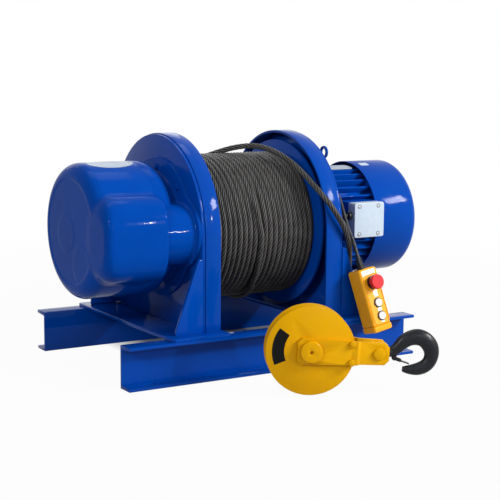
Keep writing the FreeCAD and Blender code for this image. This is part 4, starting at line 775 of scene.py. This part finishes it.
def raisedBy(degrees):
    # lift share and shift of the raised wrap at an angle, smooth between the listed ones
    for before, after in zip(raisedPath, raisedPath[1:]):
        if before[0] <= degrees < after[0]:
            share = eased((degrees - before[0]) / (after[0] - before[0]))
            return before[1] + (after[1] - before[1]) * share, before[2] + (after[2] - before[2]) * share
    return 0.0, 0.0


def woundLine(look):
    # the rope's centre line: flat against each head for half a turn, even steps between
    line = []
    steps = look["turns"] * look["perTurn"]
    for index in range(steps + 1):
        turn = index / look["perTurn"]
        share = min(1.0, max(0.0, (turn - 0.5) / (look["turns"] - 1.0)))
        x = -look["half"] + 2 * look["half"] * share
        x += look["wander"] * math.sin(turn * 5.3) * math.sin(turn * 0.9 + 1.0)
        radius = look["middle"] - look["wander"] * (1 + math.sin(turn * 3.7 + 2.0)) / 2
        angle = 2 * math.pi * turn + look["start"]
        # one wrap has ridden up on its neighbour over the front
        lift, shift = raisedBy(math.degrees(angle) - look["raisedTurn"] * 360)
        radius += look["raise"] * lift
        x += shift
        line.append(Vector((x, -radius * math.sin(angle), look["axis"] + radius * math.cos(angle))))
    return line


wound = Form()
strandedRope(woundLine(winding), woundRope, wound)
paintGrooveShade(wound.make("ropeWinding", finishes["rope_steel"], "drum", ["rope_pack"], 55))
# the lower layers are nearly black, painted shade between the top wraps
lowerLayers = Form()
lowerLayers.turned(
    ((-layers["half"], layers["inner"]), (-layers["half"], layers["outer"]),
     (layers["half"], layers["outer"]), (layers["half"], layers["inner"])),
    128, facing((0, 0, winding["axis"]), (1, 0, 0)),
)
lowerLayers.make("ropeLowerLayers", ropeShadeFinish, "drum")
print("rope wound")


# The gearbox casing: rings of a round body with a lobe to the front, blended into each other
casing = {
    "centreY": -0.062,
    "centreZ": 0.335,
    "bodyY": -0.022,
    "around": 320,
    "wall": 0.008,
}
lid = {
    "faceX": -0.4335,
    "openX": -0.2781,
    "bodyRadius": 0.160,
    "bodyCorner": 0.033,
    "lobeZ": 0.328,
    "lobeReach": 0.226,
    "lobeRadius": 0.102,
    "lobePower": 2.9,
    "frontCorner": 0.019,
    "sideCorner": 0.045,
    "blend": 0.010,
    "steps": 28,
    "sunk": 0.0011,
    "sunkBlend": 0.03,
    "mostProud": 0.0004,
    "bossEdge": 0.003,
    "rim": ((0.0, 0.0060), (0.0009, 0.0030), (0.0025, 0.0012), (0.0049, 0.0002), (0.0079, 0.0)),
    "innerRim": ((0.0, 0.024), (0.0079, 0.024)),
}
throat = {
    "y": -0.149,
    "z": 0.331,
    "radius": 0.0715,
    "flangeY": -0.147,
    "flangeZ": 0.335,
    "flangeRadius": 0.084,
}
housing = {
    "openX": -0.2779,
    "plateX": -0.1966,
    "radius": 0.160,
    "shoulderX": -0.256,
    "shoulder": 0.010,
    "neckRadius": 0.128,
    "footX": -0.2135,
    "fillet": 0.008,
    "flangeRadius": 0.168,
    "flangeRim": ((-0.2055, 0.0016), (-0.2052, 0.0006), (-0.2043, 0.0)),
    "edge": 0.0003,
    "edgeDepth": 0.0007,
    "blend": 0.008,
    "neckBlend": 0.010,
    "footBlend": 0.014,
    "innerLobe": 0.062,
    "innerStepX": -0.2400,
    "innerStep": 0.002,
}
lidBosses = (
    {"y": 0.002, "z": 0.330, "radius": 0.046, "rise": 0.0005},
    {"y": -0.085, "z": 0.262, "radius": 0.049, "rise": 0.0005},
)


def casingDistance(y, z, bodyRadius, lobe, blend):
    # how far a point lies outside the outline, and how much of the lobe it belongs to
    body = math.hypot(y - casing["bodyY"], z - casing["centreZ"]) - bodyRadius
    across = abs(y - lobe[0]) ** lobe[3] + abs(z - lobe[1]) ** lobe[3]
    front = across ** (1 / lobe[3]) - lobe[2]
    near = max(blend - abs(body - front), 0.0) / blend
    return min(body, front) - near * near * blend / 4, eased(0.5 + (body - front) / (2 * blend))


def casingRing(x, bodyRadius, lobe, blend):
    # the outline at one station, found along each ray from the centre by halving
    ring = []
    for across, up in circle(casing["around"]):
        near = 0.01
        far = 0.25
        for _ in range(24):
            middle = (near + far) / 2
            y = casing["centreY"] + middle * across
            z = casing["centreZ"] + middle * up
            if casingDistance(y, z, bodyRadius, lobe, blend)[0] > 0:
                far = middle
            else:
                near = middle
        ring.append((x, casing["centreY"] + near * across, casing["centreZ"] + near * up))
    return ring


def cornered(size, corner, depth):
    # how far a rounded form reaches a little way behind its face
    behind = max(corner - depth, 0.0) / corner
    return size - corner + corner * math.sqrt(1 - behind * behind)


def lidLobe(depth, inset, radius):
    # the lobe is rounded more at its top and bottom than in front
    reach = cornered(lid["lobeReach"], lid["frontCorner"], depth) - lid["lobeRadius"] + radius
    size = cornered(radius, lid["sideCorner"], depth)
    return (size - reach, lid["lobeZ"], size - inset, lid["lobePower"])


def lidSkin(inset, faceX, rim):
    # rings from the open edge, where the lobe tapers a little, to the rim of the face
    rings = []
    deep = lid["sideCorner"]
    for depth, less in rim:
        lobe = lidLobe(deep, inset, lid["lobeRadius"] - less)
        rings.append(casingRing(lid["openX"] - depth, lid["bodyRadius"] - inset, lobe, lid["blend"]))
    for step in range(lid["steps"]):
        depth = deep * (1 - math.sin(step * math.pi / 2 / (lid["steps"] - 1)))
        body = cornered(lid["bodyRadius"], lid["bodyCorner"], depth) - inset
        lobe = lidLobe(depth, inset, lid["lobeRadius"])
        rings.append(casingRing(faceX + depth, body, lobe, lid["blend"]))
    return rings


def lidFace(edge, faceX, dressed):
    # the flat face: sunk a little inside the body's rim, with two faint round bosses
    rings = []
    bodyFace = lid["bodyRadius"] - lid["bodyCorner"]
    lobeFace = lidLobe(0.0, 0.0, lid["lobeRadius"])
    shares = (0.992, 0.978) + tuple(1 - step / 44 for step in range(2, 44))
    for index, share in enumerate(shares):
        ring = []
        for x, y, z in edge:
            y = casing["centreY"] + (y - casing["centreY"]) * share
            z = casing["centreZ"] + (z - casing["centreZ"]) * share
            x = faceX
            if dressed and index > 0:
                x += lid["sunk"] * (1 - casingDistance(y, z, bodyFace, lobeFace, lid["sunkBlend"])[1])
                for boss in lidBosses:
                    away = math.hypot(y - boss["y"], z - boss["z"]) - boss["radius"]
                    x -= boss["rise"] * eased(0.5 - away / lid["bossEdge"])
                x = max(x, faceX - lid["mostProud"])
            ring.append((x, y, z))
        rings.append(ring)
    return rings


lugs = {"angles": (22, -30, -74), "circle": 0.169, "radius": 0.011, "before": 0.009, "behind": 0.018}


def lugPlaces():
    for degrees in lugs["angles"]:
        angle = math.radians(degrees)
        y = casing["bodyY"] + lugs["circle"] * math.cos(angle)
        yield y, casing["centreZ"] + lugs["circle"] * math.sin(angle)


def lugProfile(length):
    size = lugs["radius"]
    return (
        (0.0002, size - 0.0008), (0.0010, size), (length - 0.0025, size), (length - 0.0008, size - 0.001),
        (length, size - 0.003),
    )


lidForm = Form()
lidOuter = lidSkin(0.0, lid["faceX"], lid["rim"])
lidOuter += lidFace(lidOuter[-1], lid["faceX"], True)
lidWall = casing["wall"]
lidInner = lidSkin(lidWall, lid["faceX"] + lidWall, lid["innerRim"])
lidInner += lidFace(lidInner[-1], lid["faceX"] + lidWall, False)
lidForm.rings(list(reversed(lidInner)) + lidOuter)
for y, z in lugPlaces():
    lidForm.turned(lugProfile(lugs["before"]), 40, facing((lid["openX"], y, z), (-1, 0, 0)))
# the drain plug low on the rear side of the lid
plug = {"angle": -64, "x": -0.399, "reach": 0.1555, "radius": 0.0085, "rise": 0.0075}
plugWay = Vector((0, math.cos(math.radians(plug["angle"])), math.sin(math.radians(plug["angle"]))))
plugSeat = Vector((plug["x"], casing["bodyY"], casing["centreZ"])) + plugWay * plug["reach"]
size = plug["radius"]
lidForm.turned(
    ((-0.002, size * 1.35), (0.0035, size * 1.35), (0.0045, size * 1.25), (0.0046, size * 0.8),
     (plug["rise"], size * 0.78), (plug["rise"] + 0.0008, size * 0.7)), 36, facing(plugSeat, plugWay),
)
lidForm.make("gearboxLid", castFinish, "frame", ["gearbox_lid"], 40)


def quarterTurn(first):
    # sines and cosines in sevenths of a quarter turn
    for step in range(first, 8):
        yield math.sin(step * math.pi / 14), math.cos(step * math.pi / 14)


def housingSkin(look):
    # rings from the split to the end plate: barrel, rounded shoulder, throat and foot flange
    front = (throat["y"], throat["z"], throat["radius"], 2)
    blend = look["blend"]
    rings = [
        casingRing(look["openX"], look["radius"] - look["edge"], front, blend),
        casingRing(look["openX"] + look["edgeDepth"], look["radius"], front, blend),
        casingRing(look["shoulderX"], look["radius"], front, blend),
    ]
    shoulder = look["shoulder"]
    for sine, cosine in quarterTurn(1):
        x = look["shoulderX"] + shoulder * sine
        rings.append(casingRing(x, look["radius"] - shoulder * (1 - cosine), front, blend))
    fillet = look["fillet"]
    for sine, cosine in quarterTurn(0):
        x = look["shoulderX"] + shoulder + fillet * (1 - cosine)
        rings.append(casingRing(x, look["neckRadius"] + fillet * (1 - sine), front, look["neckBlend"]))
    for sine, cosine in quarterTurn(0):
        grow = fillet * (1 - cosine)
        lobe = (throat["y"], throat["z"], throat["radius"] + grow, 2)
        x = look["footX"] + fillet * sine
        rings.append(casingRing(x, look["neckRadius"] + grow, lobe, look["footBlend"]))
    for x, inset in look["flangeRim"] + ((look["plateX"], 0.0),):
        lobe = (throat["flangeY"], throat["flangeZ"], throat["flangeRadius"] - inset, 2)
        rings.append(casingRing(x, look["flangeRadius"] - inset, lobe, look["neckBlend"]))
    return rings


def housingRoom(look):
    # rings of the room inside, from the end plate back to the split
    lobe = (throat["y"], throat["z"], look["innerLobe"], 2)
    narrow = look["neckRadius"] - casing["wall"]
    wide = look["radius"] - casing["wall"]
    stations = (
        (look["plateX"], narrow), (look["innerStepX"] + look["innerStep"], narrow),
        (look["innerStepX"], wide), (look["openX"], wide),
    )
    return [casingRing(x, body, lobe, look["blend"]) for x, body in stations]


housingForm = Form()
housingForm.rings(housingSkin(housing) + housingRoom(housing), True)
for y, z in lugPlaces():
    housingForm.turned(lugProfile(lugs["behind"]), 40, facing((lid["openX"] + 0.0004, y, z), (1, 0, 0)))
housingForm.make("gearboxHousing", castFinish, "frame", ["gearbox_housing"], 40)
print("gearbox casing cast")


# The screws of the casing, the hubs and the motor, painted over with what they hold
screw = {"radius": 0.0073, "rise": 0.0053}
footAngles = (0, 45, 90, 135, 225, 270, 315)
sixAngles = range(30, 390, 60)
screwRows = (
    {"x": -0.2055, "side": -1, "y": -0.022, "z": 0.335, "circle": 0.145, "angles": footAngles},
    {"x": -0.1795, "side": 1, "y": 0.0, "z": 0.325, "circle": 0.091, "angles": sixAngles},
    {"x": 0.1795, "side": -1, "y": 0.0, "z": 0.325, "circle": 0.091, "angles": sixAngles},
    {"x": 0.2055, "side": 1, "y": 0.0, "z": 0.325, "circle": 0.114, "angles": sixAngles},
)


def hexHead(form, spot, side, spin):
    place = facing(spot, (side, 0, 0), spin)
    radius = screw["radius"]
    rise = screw["rise"]
    form.turned(((-0.0004, radius * 1.16), (0.0008, radius * 1.16), (0.0011, radius * 1.08)), 32, place)
    form.turned(((0.0006, radius), (rise * 0.86, radius), (rise, radius * 0.88)), 6, place)


screwForm = Form()
for row in screwRows:
    for degrees in row["angles"]:
        angle = math.radians(degrees)
        y = row["y"] + row["circle"] * math.cos(angle)
        z = row["z"] + row["circle"] * math.sin(angle)
        hexHead(screwForm, (row["x"], y, z), row["side"], degrees * 0.37)
for y, z in lugPlaces():
    hexHead(screwForm, (lid["openX"] - lugs["before"], y, z), -1, y * 50)
screwForm.make("flangeScrews", castFinish, "frame", ["flange_screws"], 30)
print("screws set")


def curvedPlate(name, look, finish):
    # a thin plate bent over a round body, oval or rounded by its power
    rings = []
    shape = [(0.0, 1.0), (1.0, 1.0), (1.0, 0.93)]
    shape += [(0.6, 0.9 - step * 0.11) for step in range(9)]
    for share, grow in shape:
        rise = look["thick"] * share
        ring = []
        for across, around in circle(72):
            size = (abs(across) ** look["power"] + abs(around) ** look["power"]) ** (-1 / look["power"])
            along = look["x"] + look["length"] / 2 * across * size * grow
            swing = math.radians(look["angle"]) + look["width"] / 2 * around * size * grow / look["radius"]
            reach = look["radius"] + rise
            ring.append((along, look["y"] + reach * math.cos(swing), look["z"] + reach * math.sin(swing)))
        rings.append(ring)
    form = Form()
    form.rings(rings)
    form.make(name, finish, "frame")


ovalPlate = {
    "x": -0.342,
    "y": -0.022,
    "z": 0.335,
    "radius": 0.1598,
    "angle": 99.0,
    "length": 0.116,
    "width": 0.062,
    "thick": 0.0010,
    "power": 2.0,
}
motorPlate = {
    "x": 0.326,
    "y": 0.0,
    "z": 0.325,
    "radius": 0.1371,
    "angle": 101.0,
    "length": 0.072,
    "width": 0.036,
    "thick": 0.0010,
    "power": 8.0,
}
coverPlate = dict(motorPlate, x=0.397, radius=0.1469, angle=106.0, length=0.027, width=0.018, thick=0.0004,
                  power=10.0)
curvedPlate("gearboxPlate", ovalPlate, plateFinish)
curvedPlate("motorPlate", motorPlate, plateFinish)
curvedPlate("coverLabel", coverPlate, finishes["grey_plastic"])


# The terminal box's cover screws, each on a thin darker disc that paints the shade of a round pocket
terminal = {
    "left": 0.283,
    "right": 0.341,
    "bottom": 0.303,
    "top": 0.373,
    "front": -0.183,
    "screwRadius": 0.0036,
}
size = terminal["screwRadius"]
pocketShadeProfile = ((-0.001, size * 1.6), (0.0002, size * 1.6), (0.0003, size * 1.5), (0.0001, size * 1.4))
panHead = (
    (-0.001, size * 0.9), (0.0005, size), (0.0012, size * 0.85), (0.0014, size * 0.5), (0.0006, size * 0.35),
)
terminalScrews = Form()
terminalPocketShades = Form()
for x in (terminal["left"], terminal["right"]):
    for z in (terminal["bottom"], terminal["top"]):
        place = facing((x, terminal["front"], z), (0, -1, 0), x * 90)
        terminalPocketShades.turned(pocketShadeProfile, 32, place)
        terminalScrews.turned(panHead, 24, place)
terminalPocketShades.make("terminalPocketShades", pocketShadeFinish, "frame")
terminalScrews.make("terminalScrews", finishes["zinc_steel"], "frame")


# The pendant's trim, built in its own frame and stood in place
trim = {
    "x": 0.002,
    "z": -0.078,
    "width": 0.044,
    "height": 0.122,
    "corner": 0.009,
    "bead": 0.0013,
    "rise": 0.0013,
}
# the end cap: how far it stands proud of the shell, and its inset at each height
foot = {
    "proud": 0.0008,
    "corner": 0.006,
    "heights": ((-0.1435, 0.0008), (-0.1443, 0.0), (-0.1540, 0.0), (-0.1568, 0.0012), (-0.158, 0.0040)),
}
labelThick = 0.0004
labelPlaces = (
    {"x": -0.001, "z": -0.0105, "width": 0.040, "height": 0.013, "corner": 0.0015},
    {"x": 0.004, "z": -0.0645, "width": 0.012, "height": 0.016, "corner": 0.0010},
    {"x": 0.004, "z": -0.1045, "width": 0.012, "height": 0.009, "corner": 0.0010},
    {"x": 0.004, "z": -0.1345, "width": 0.010, "height": 0.005, "corner": 0.0010},
)
# the dark ring round each button, which starts just below the face
buttonX = 0.004
bezelFoot = 0.0004
bezelSizes = (
    {"drop": 0.037, "inner": 0.0112, "outer": 0.0165, "rise": 0.0024},
    {"drop": 0.088, "inner": 0.0097, "outer": 0.0122, "rise": 0.0022},
    {"drop": 0.121, "inner": 0.0097, "outer": 0.0122, "rise": 0.0022},
)


def roundedCorners(width, height, corner, steps):
    # points round a rectangle with rounded corners, about its middle
    for side, high, start in ((1, 1, 0), (-1, 1, 90), (-1, -1, 180), (1, -1, 270)):
        for step in range(steps):
            angle = math.radians(start + step * 90 / (steps - 1))
            x = side * (width / 2 - corner) + corner * math.cos(angle)
            yield x, high * (height / 2 - corner) + corner * math.sin(angle)


def frameLoop(form, look):
    # a raised bead in a rounded rectangle on the pendant's face
    corners = [
        (look["x"] + x, look["z"] + z)
        for x, z in roundedCorners(look["width"], look["height"], look["corner"], 7)
    ]
    rings = []
    for index, (x, z) in enumerate(corners):
        before = Vector(corners[index - 1])
        after = Vector(corners[(index + 1) % len(corners)])
        way = (after - before).normalized()
        out = Vector((way.y, -way.x))
        ring = []
        for across, up in circle(8):
            wide = look["bead"] * across
            ring.append((x + out.x * wide, -look["rise"] * up, z + out.y * wide))
        rings.append(ring)
    form.rings(rings, True, pendantFrame)


def endCap(form, look):
    rings = []
    for z, inset in look["heights"]:
        grow = 2 * (look["proud"] - inset)
        outline = roundedCorners(pendant["width"] + grow, pendant["depth"] + grow, look["corner"], 7)
        rings.append([(x, pendant["depth"] / 2 + y, z) for x, y in outline])
    form.rings(rings, False, pendantFrame)


def flatLabel(form, look):
    # a thin rounded plate on the pendant's face
    rings = []
    for depth, less in ((0.0006, 0.0), (-labelThick * 0.7, 0.0), (-labelThick, 0.0003)):
        width = look["width"] - 2 * less
        height = look["height"] - 2 * less
        outline = roundedCorners(width, height, look["corner"] - less, 5)
        rings.append([(look["x"] + x, depth, look["z"] + z) for x, z in outline])
    form.rings(rings, False, pendantFrame)


def bezel(form, look):
    inner = look["inner"]
    outer = look["outer"]
    rise = look["rise"]
    profile = (
        (bezelFoot, inner), (-rise, inner), (-rise, (inner + outer) / 2), (-rise * 0.6, outer),
        (bezelFoot, outer),
    )
    rings = []
    for along, radius in profile:
        rings.append([(buttonX + radius * x, along, radius * z - look["drop"]) for x, z in circle(48)])
    form.rings(rings, True, pendantFrame)


pendantBead = Form()
frameLoop(pendantBead, trim)
endCap(pendantBead, foot)
pendantBead.make("pendantBead", finishes["yellow_plastic"], "frame")

labels = Form()
for label in labelPlaces:
    flatLabel(labels, label)
labels.make("pendantLabels", finishes["white_plastic"], "frame")

bezels = Form()
for size in bezelSizes:
    bezel(bezels, size)
bezels.make("buttonBezels", finishes["black_plastic"], "frame")

# the boot's ribs get smaller towards the cable
ribs = {"count": 6, "first": 0.0075, "pitch": 0.0036, "radius": 0.0090, "taper": 0.00045, "groove": 0.0010}
bootForm = Form()
bootProfile = [(0.0, 0.0108), (0.0052, 0.0108), (0.0060, 0.0098)]
for rib in range(ribs["count"]):
    low = ribs["first"] + rib * ribs["pitch"]
    size = ribs["radius"] - rib * ribs["taper"]
    root = size - ribs["groove"]
    bootProfile += [(low, root), (low + 0.0006, size), (low + 0.0022, size), (low + 0.0028, root)]
bootProfile += [(0.0298, 0.0056), (0.0300, 0.0046)]
bootForm.turned(bootProfile, 40, pendantFrame @ Matrix.Translation((0, pendant["depth"] / 2, 0)))
bootForm.turned(
    ((-0.0004, 0.0042), (0.0060, 0.0042), (0.0105, 0.0032), (0.0112, 0.0022)), 28,
    pendantFrame @ Matrix.Translation((-0.008, 0.012, 0)),
)
bootForm.make("pendantBoot", finishes["black_rubber"], "frame", ["pendant_boot"])
print("pendant dressed")


# The hook block's sticker: a bare black patch on the front cover
block = {
    "place": (-0.0536, -0.461, 0.100),
    "turn": -26.0,
    "slope": 3.4,
    "coverOut": 0.021,
}
blockFrame = (
    Matrix.Translation(block["place"])
    @ Matrix.Rotation(math.radians(block["turn"]), 4, "Z")
    @ Matrix.Rotation(math.radians(block["slope"]), 4, "Y")
)
sticker = {
    "inner": 0.059,
    "outer": 0.086,
    "start": 146.0,
    "end": 204.0,
    "thick": 0.0003,
    "sunk": 0.0002,
    "steps": 28,
}


def makeSticker(look):
    # a sector of a ring that lies on the cover
    back = look["sunk"] - block["coverOut"]
    front = -look["thick"] - block["coverOut"]
    section = ((look["inner"], back), (look["outer"], back), (look["outer"], front), (look["inner"], front))
    rings = []
    for step in range(look["steps"] + 1):
        angle = math.radians(look["start"] + (look["end"] - look["start"]) * step / look["steps"])
        across = math.cos(angle)
        up = math.sin(angle)
        rings.append([(radius * across, depth, radius * up) for radius, depth in section])
    form = Form()
    form.rings(rings, False, blockFrame)
    form.make("blockPatch", patchFinish, "frame")


makeSticker(sticker)
print("hook block dressed")


# Floor and light
def stagePlane(name, size):
    mesh = bpy.data.meshes.new(name)
    corners = [(-size, -size, 0), (size, -size, 0), (size, size, 0), (-size, size, 0)]
    mesh.from_pydata(corners, [], [(0, 1, 2, 3)])
    item = bpy.data.objects.new(name, mesh)
    scene.collection.objects.link(item)
    return item


def backgroundRays(nodes):
    # 1 for rays that see the background: straight from the camera, or by a mirror or glass
    straight = nodes.add("ShaderNodeLightPath", {}, {}, "Is Camera Ray")
    total = straight + straight.beside("Is Glossy Ray") + straight.beside("Is Transmission Ray")
    total.out.node.use_clamp = True
    return total


studio = {
    "ambient": 0.18,
    "floorSize": 12.0,
    "floorColour": 0.42,
    "floorGlow": 0.96,
    "shade": {"X": (0.08, 0.26, 0.06), "Y": (0.0, 0.24, 0.01)},
    "nearFloor": 1.1,
    "farFloor": 2.6,
    "aim": (0.0, 0.0, 0.25),
    "lamps": (
        {"name": "keyLamp", "place": (2.28, -2.75, 2.15), "size": (1.1, 0.65), "power": 140},
        {"name": "glintLamp", "place": (1.50, -3.4, 1.30), "size": (0.08, 0.2), "power": 28},
        {"name": "fillLamp", "place": (-3.0, -1.6, 1.8), "size": (0.5, 0.8), "power": 42},
        {"name": "frontLamp", "place": (-0.4, -4.6, 1.5), "size": (2.2, 1.2), "power": 22},
        {"name": "topLamp", "place": (0.0, 0.8, 3.0), "size": (2.0, 1.0), "power": 18},
        {"name": "backLamp", "place": (0.6, 3.6, 2.2), "size": (3.0, 1.8), "power": 18},
    ),
}


def makeFloor(look):
    floor = stagePlane("floor", look["floorSize"])
    material = bpy.data.materials.new("paleFloor")
    material.use_nodes = True
    nodes = Nodes(material.node_tree)
    nodes.tree.nodes.clear()
    spot = nodes.add("ShaderNodeNewGeometry", {}, {}, "Position")
    # away from the object the floor turns into plain background
    reach = nodes.add("ShaderNodeVectorMath", {"operation": "LENGTH"}, {0: spot}, "Value")
    limits = {"From Min": look["nearFloor"], "From Max": look["farFloor"], "To Min": look["floorGlow"]}
    fade = nodes.add("ShaderNodeMapRange", {}, dict(limits, Value=reach), "Result")
    # between the beams it stays an ordinary floor in the shade
    axes = nodes.add("ShaderNodeSeparateXYZ", {}, {0: spot}, "X")
    outside = []
    for axis, (middle, half, soft) in look["shade"].items():
        away = axes.beside(axis) - middle
        edge = {"Value": away * away, "From Min": (half - soft) ** 2, "From Max": (half + soft) ** 2}
        outside.append(nodes.add("ShaderNodeMapRange", {}, edge, "Result"))
    clear = outside[0].maths("MAXIMUM", outside[0], outside[1])
    matte = nodes.add("ShaderNodeBsdfDiffuse", {}, {"Color": (look["floorColour"],) * 3 + (1,)})
    glow = nodes.add("ShaderNodeEmission", {}, {"Strength": 1.0})
    share = backgroundRays(nodes) * fade * clear
    blend = nodes.add("ShaderNodeMixShader", {}, {0: share, 1: matte, 2: glow})
    nodes.add("ShaderNodeOutputMaterial", {}, {"Surface": blend})
    floor.data.materials.append(material)


def makeWorld(look):
    world = bpy.data.worlds.new("studio")
    scene.world = world
    world.use_nodes = True
    nodes = Nodes(world.node_tree)
    sky = nodes.tree.nodes["Background"]
    sky.inputs["Color"].default_value = (1, 1, 1, 1)
    level = backgroundRays(nodes) * (1 - look["ambient"]) + look["ambient"]
    nodes.tree.links.new(level.out, sky.inputs["Strength"])


def makeLamp(look, aim):
    light = bpy.data.lights.new(look["name"], "AREA")
    light.shape = "RECTANGLE"
    light.size, light.size_y = look["size"]
    light.energy = look["power"]
    item = bpy.data.objects.new(look["name"], light)
    way = Vector(aim) - Vector(look["place"])
    turn = way.to_track_quat("-Z", "Y").to_matrix().to_4x4()
    item.matrix_world = Matrix.Translation(look["place"]) @ turn
    scene.collection.objects.link(item)


makeFloor(studio)
makeWorld(studio)
for lamp in studio["lamps"]:
    makeLamp(lamp, studio["aim"])
scene.view_settings.view_transform = "Standard"
print("studio lit")
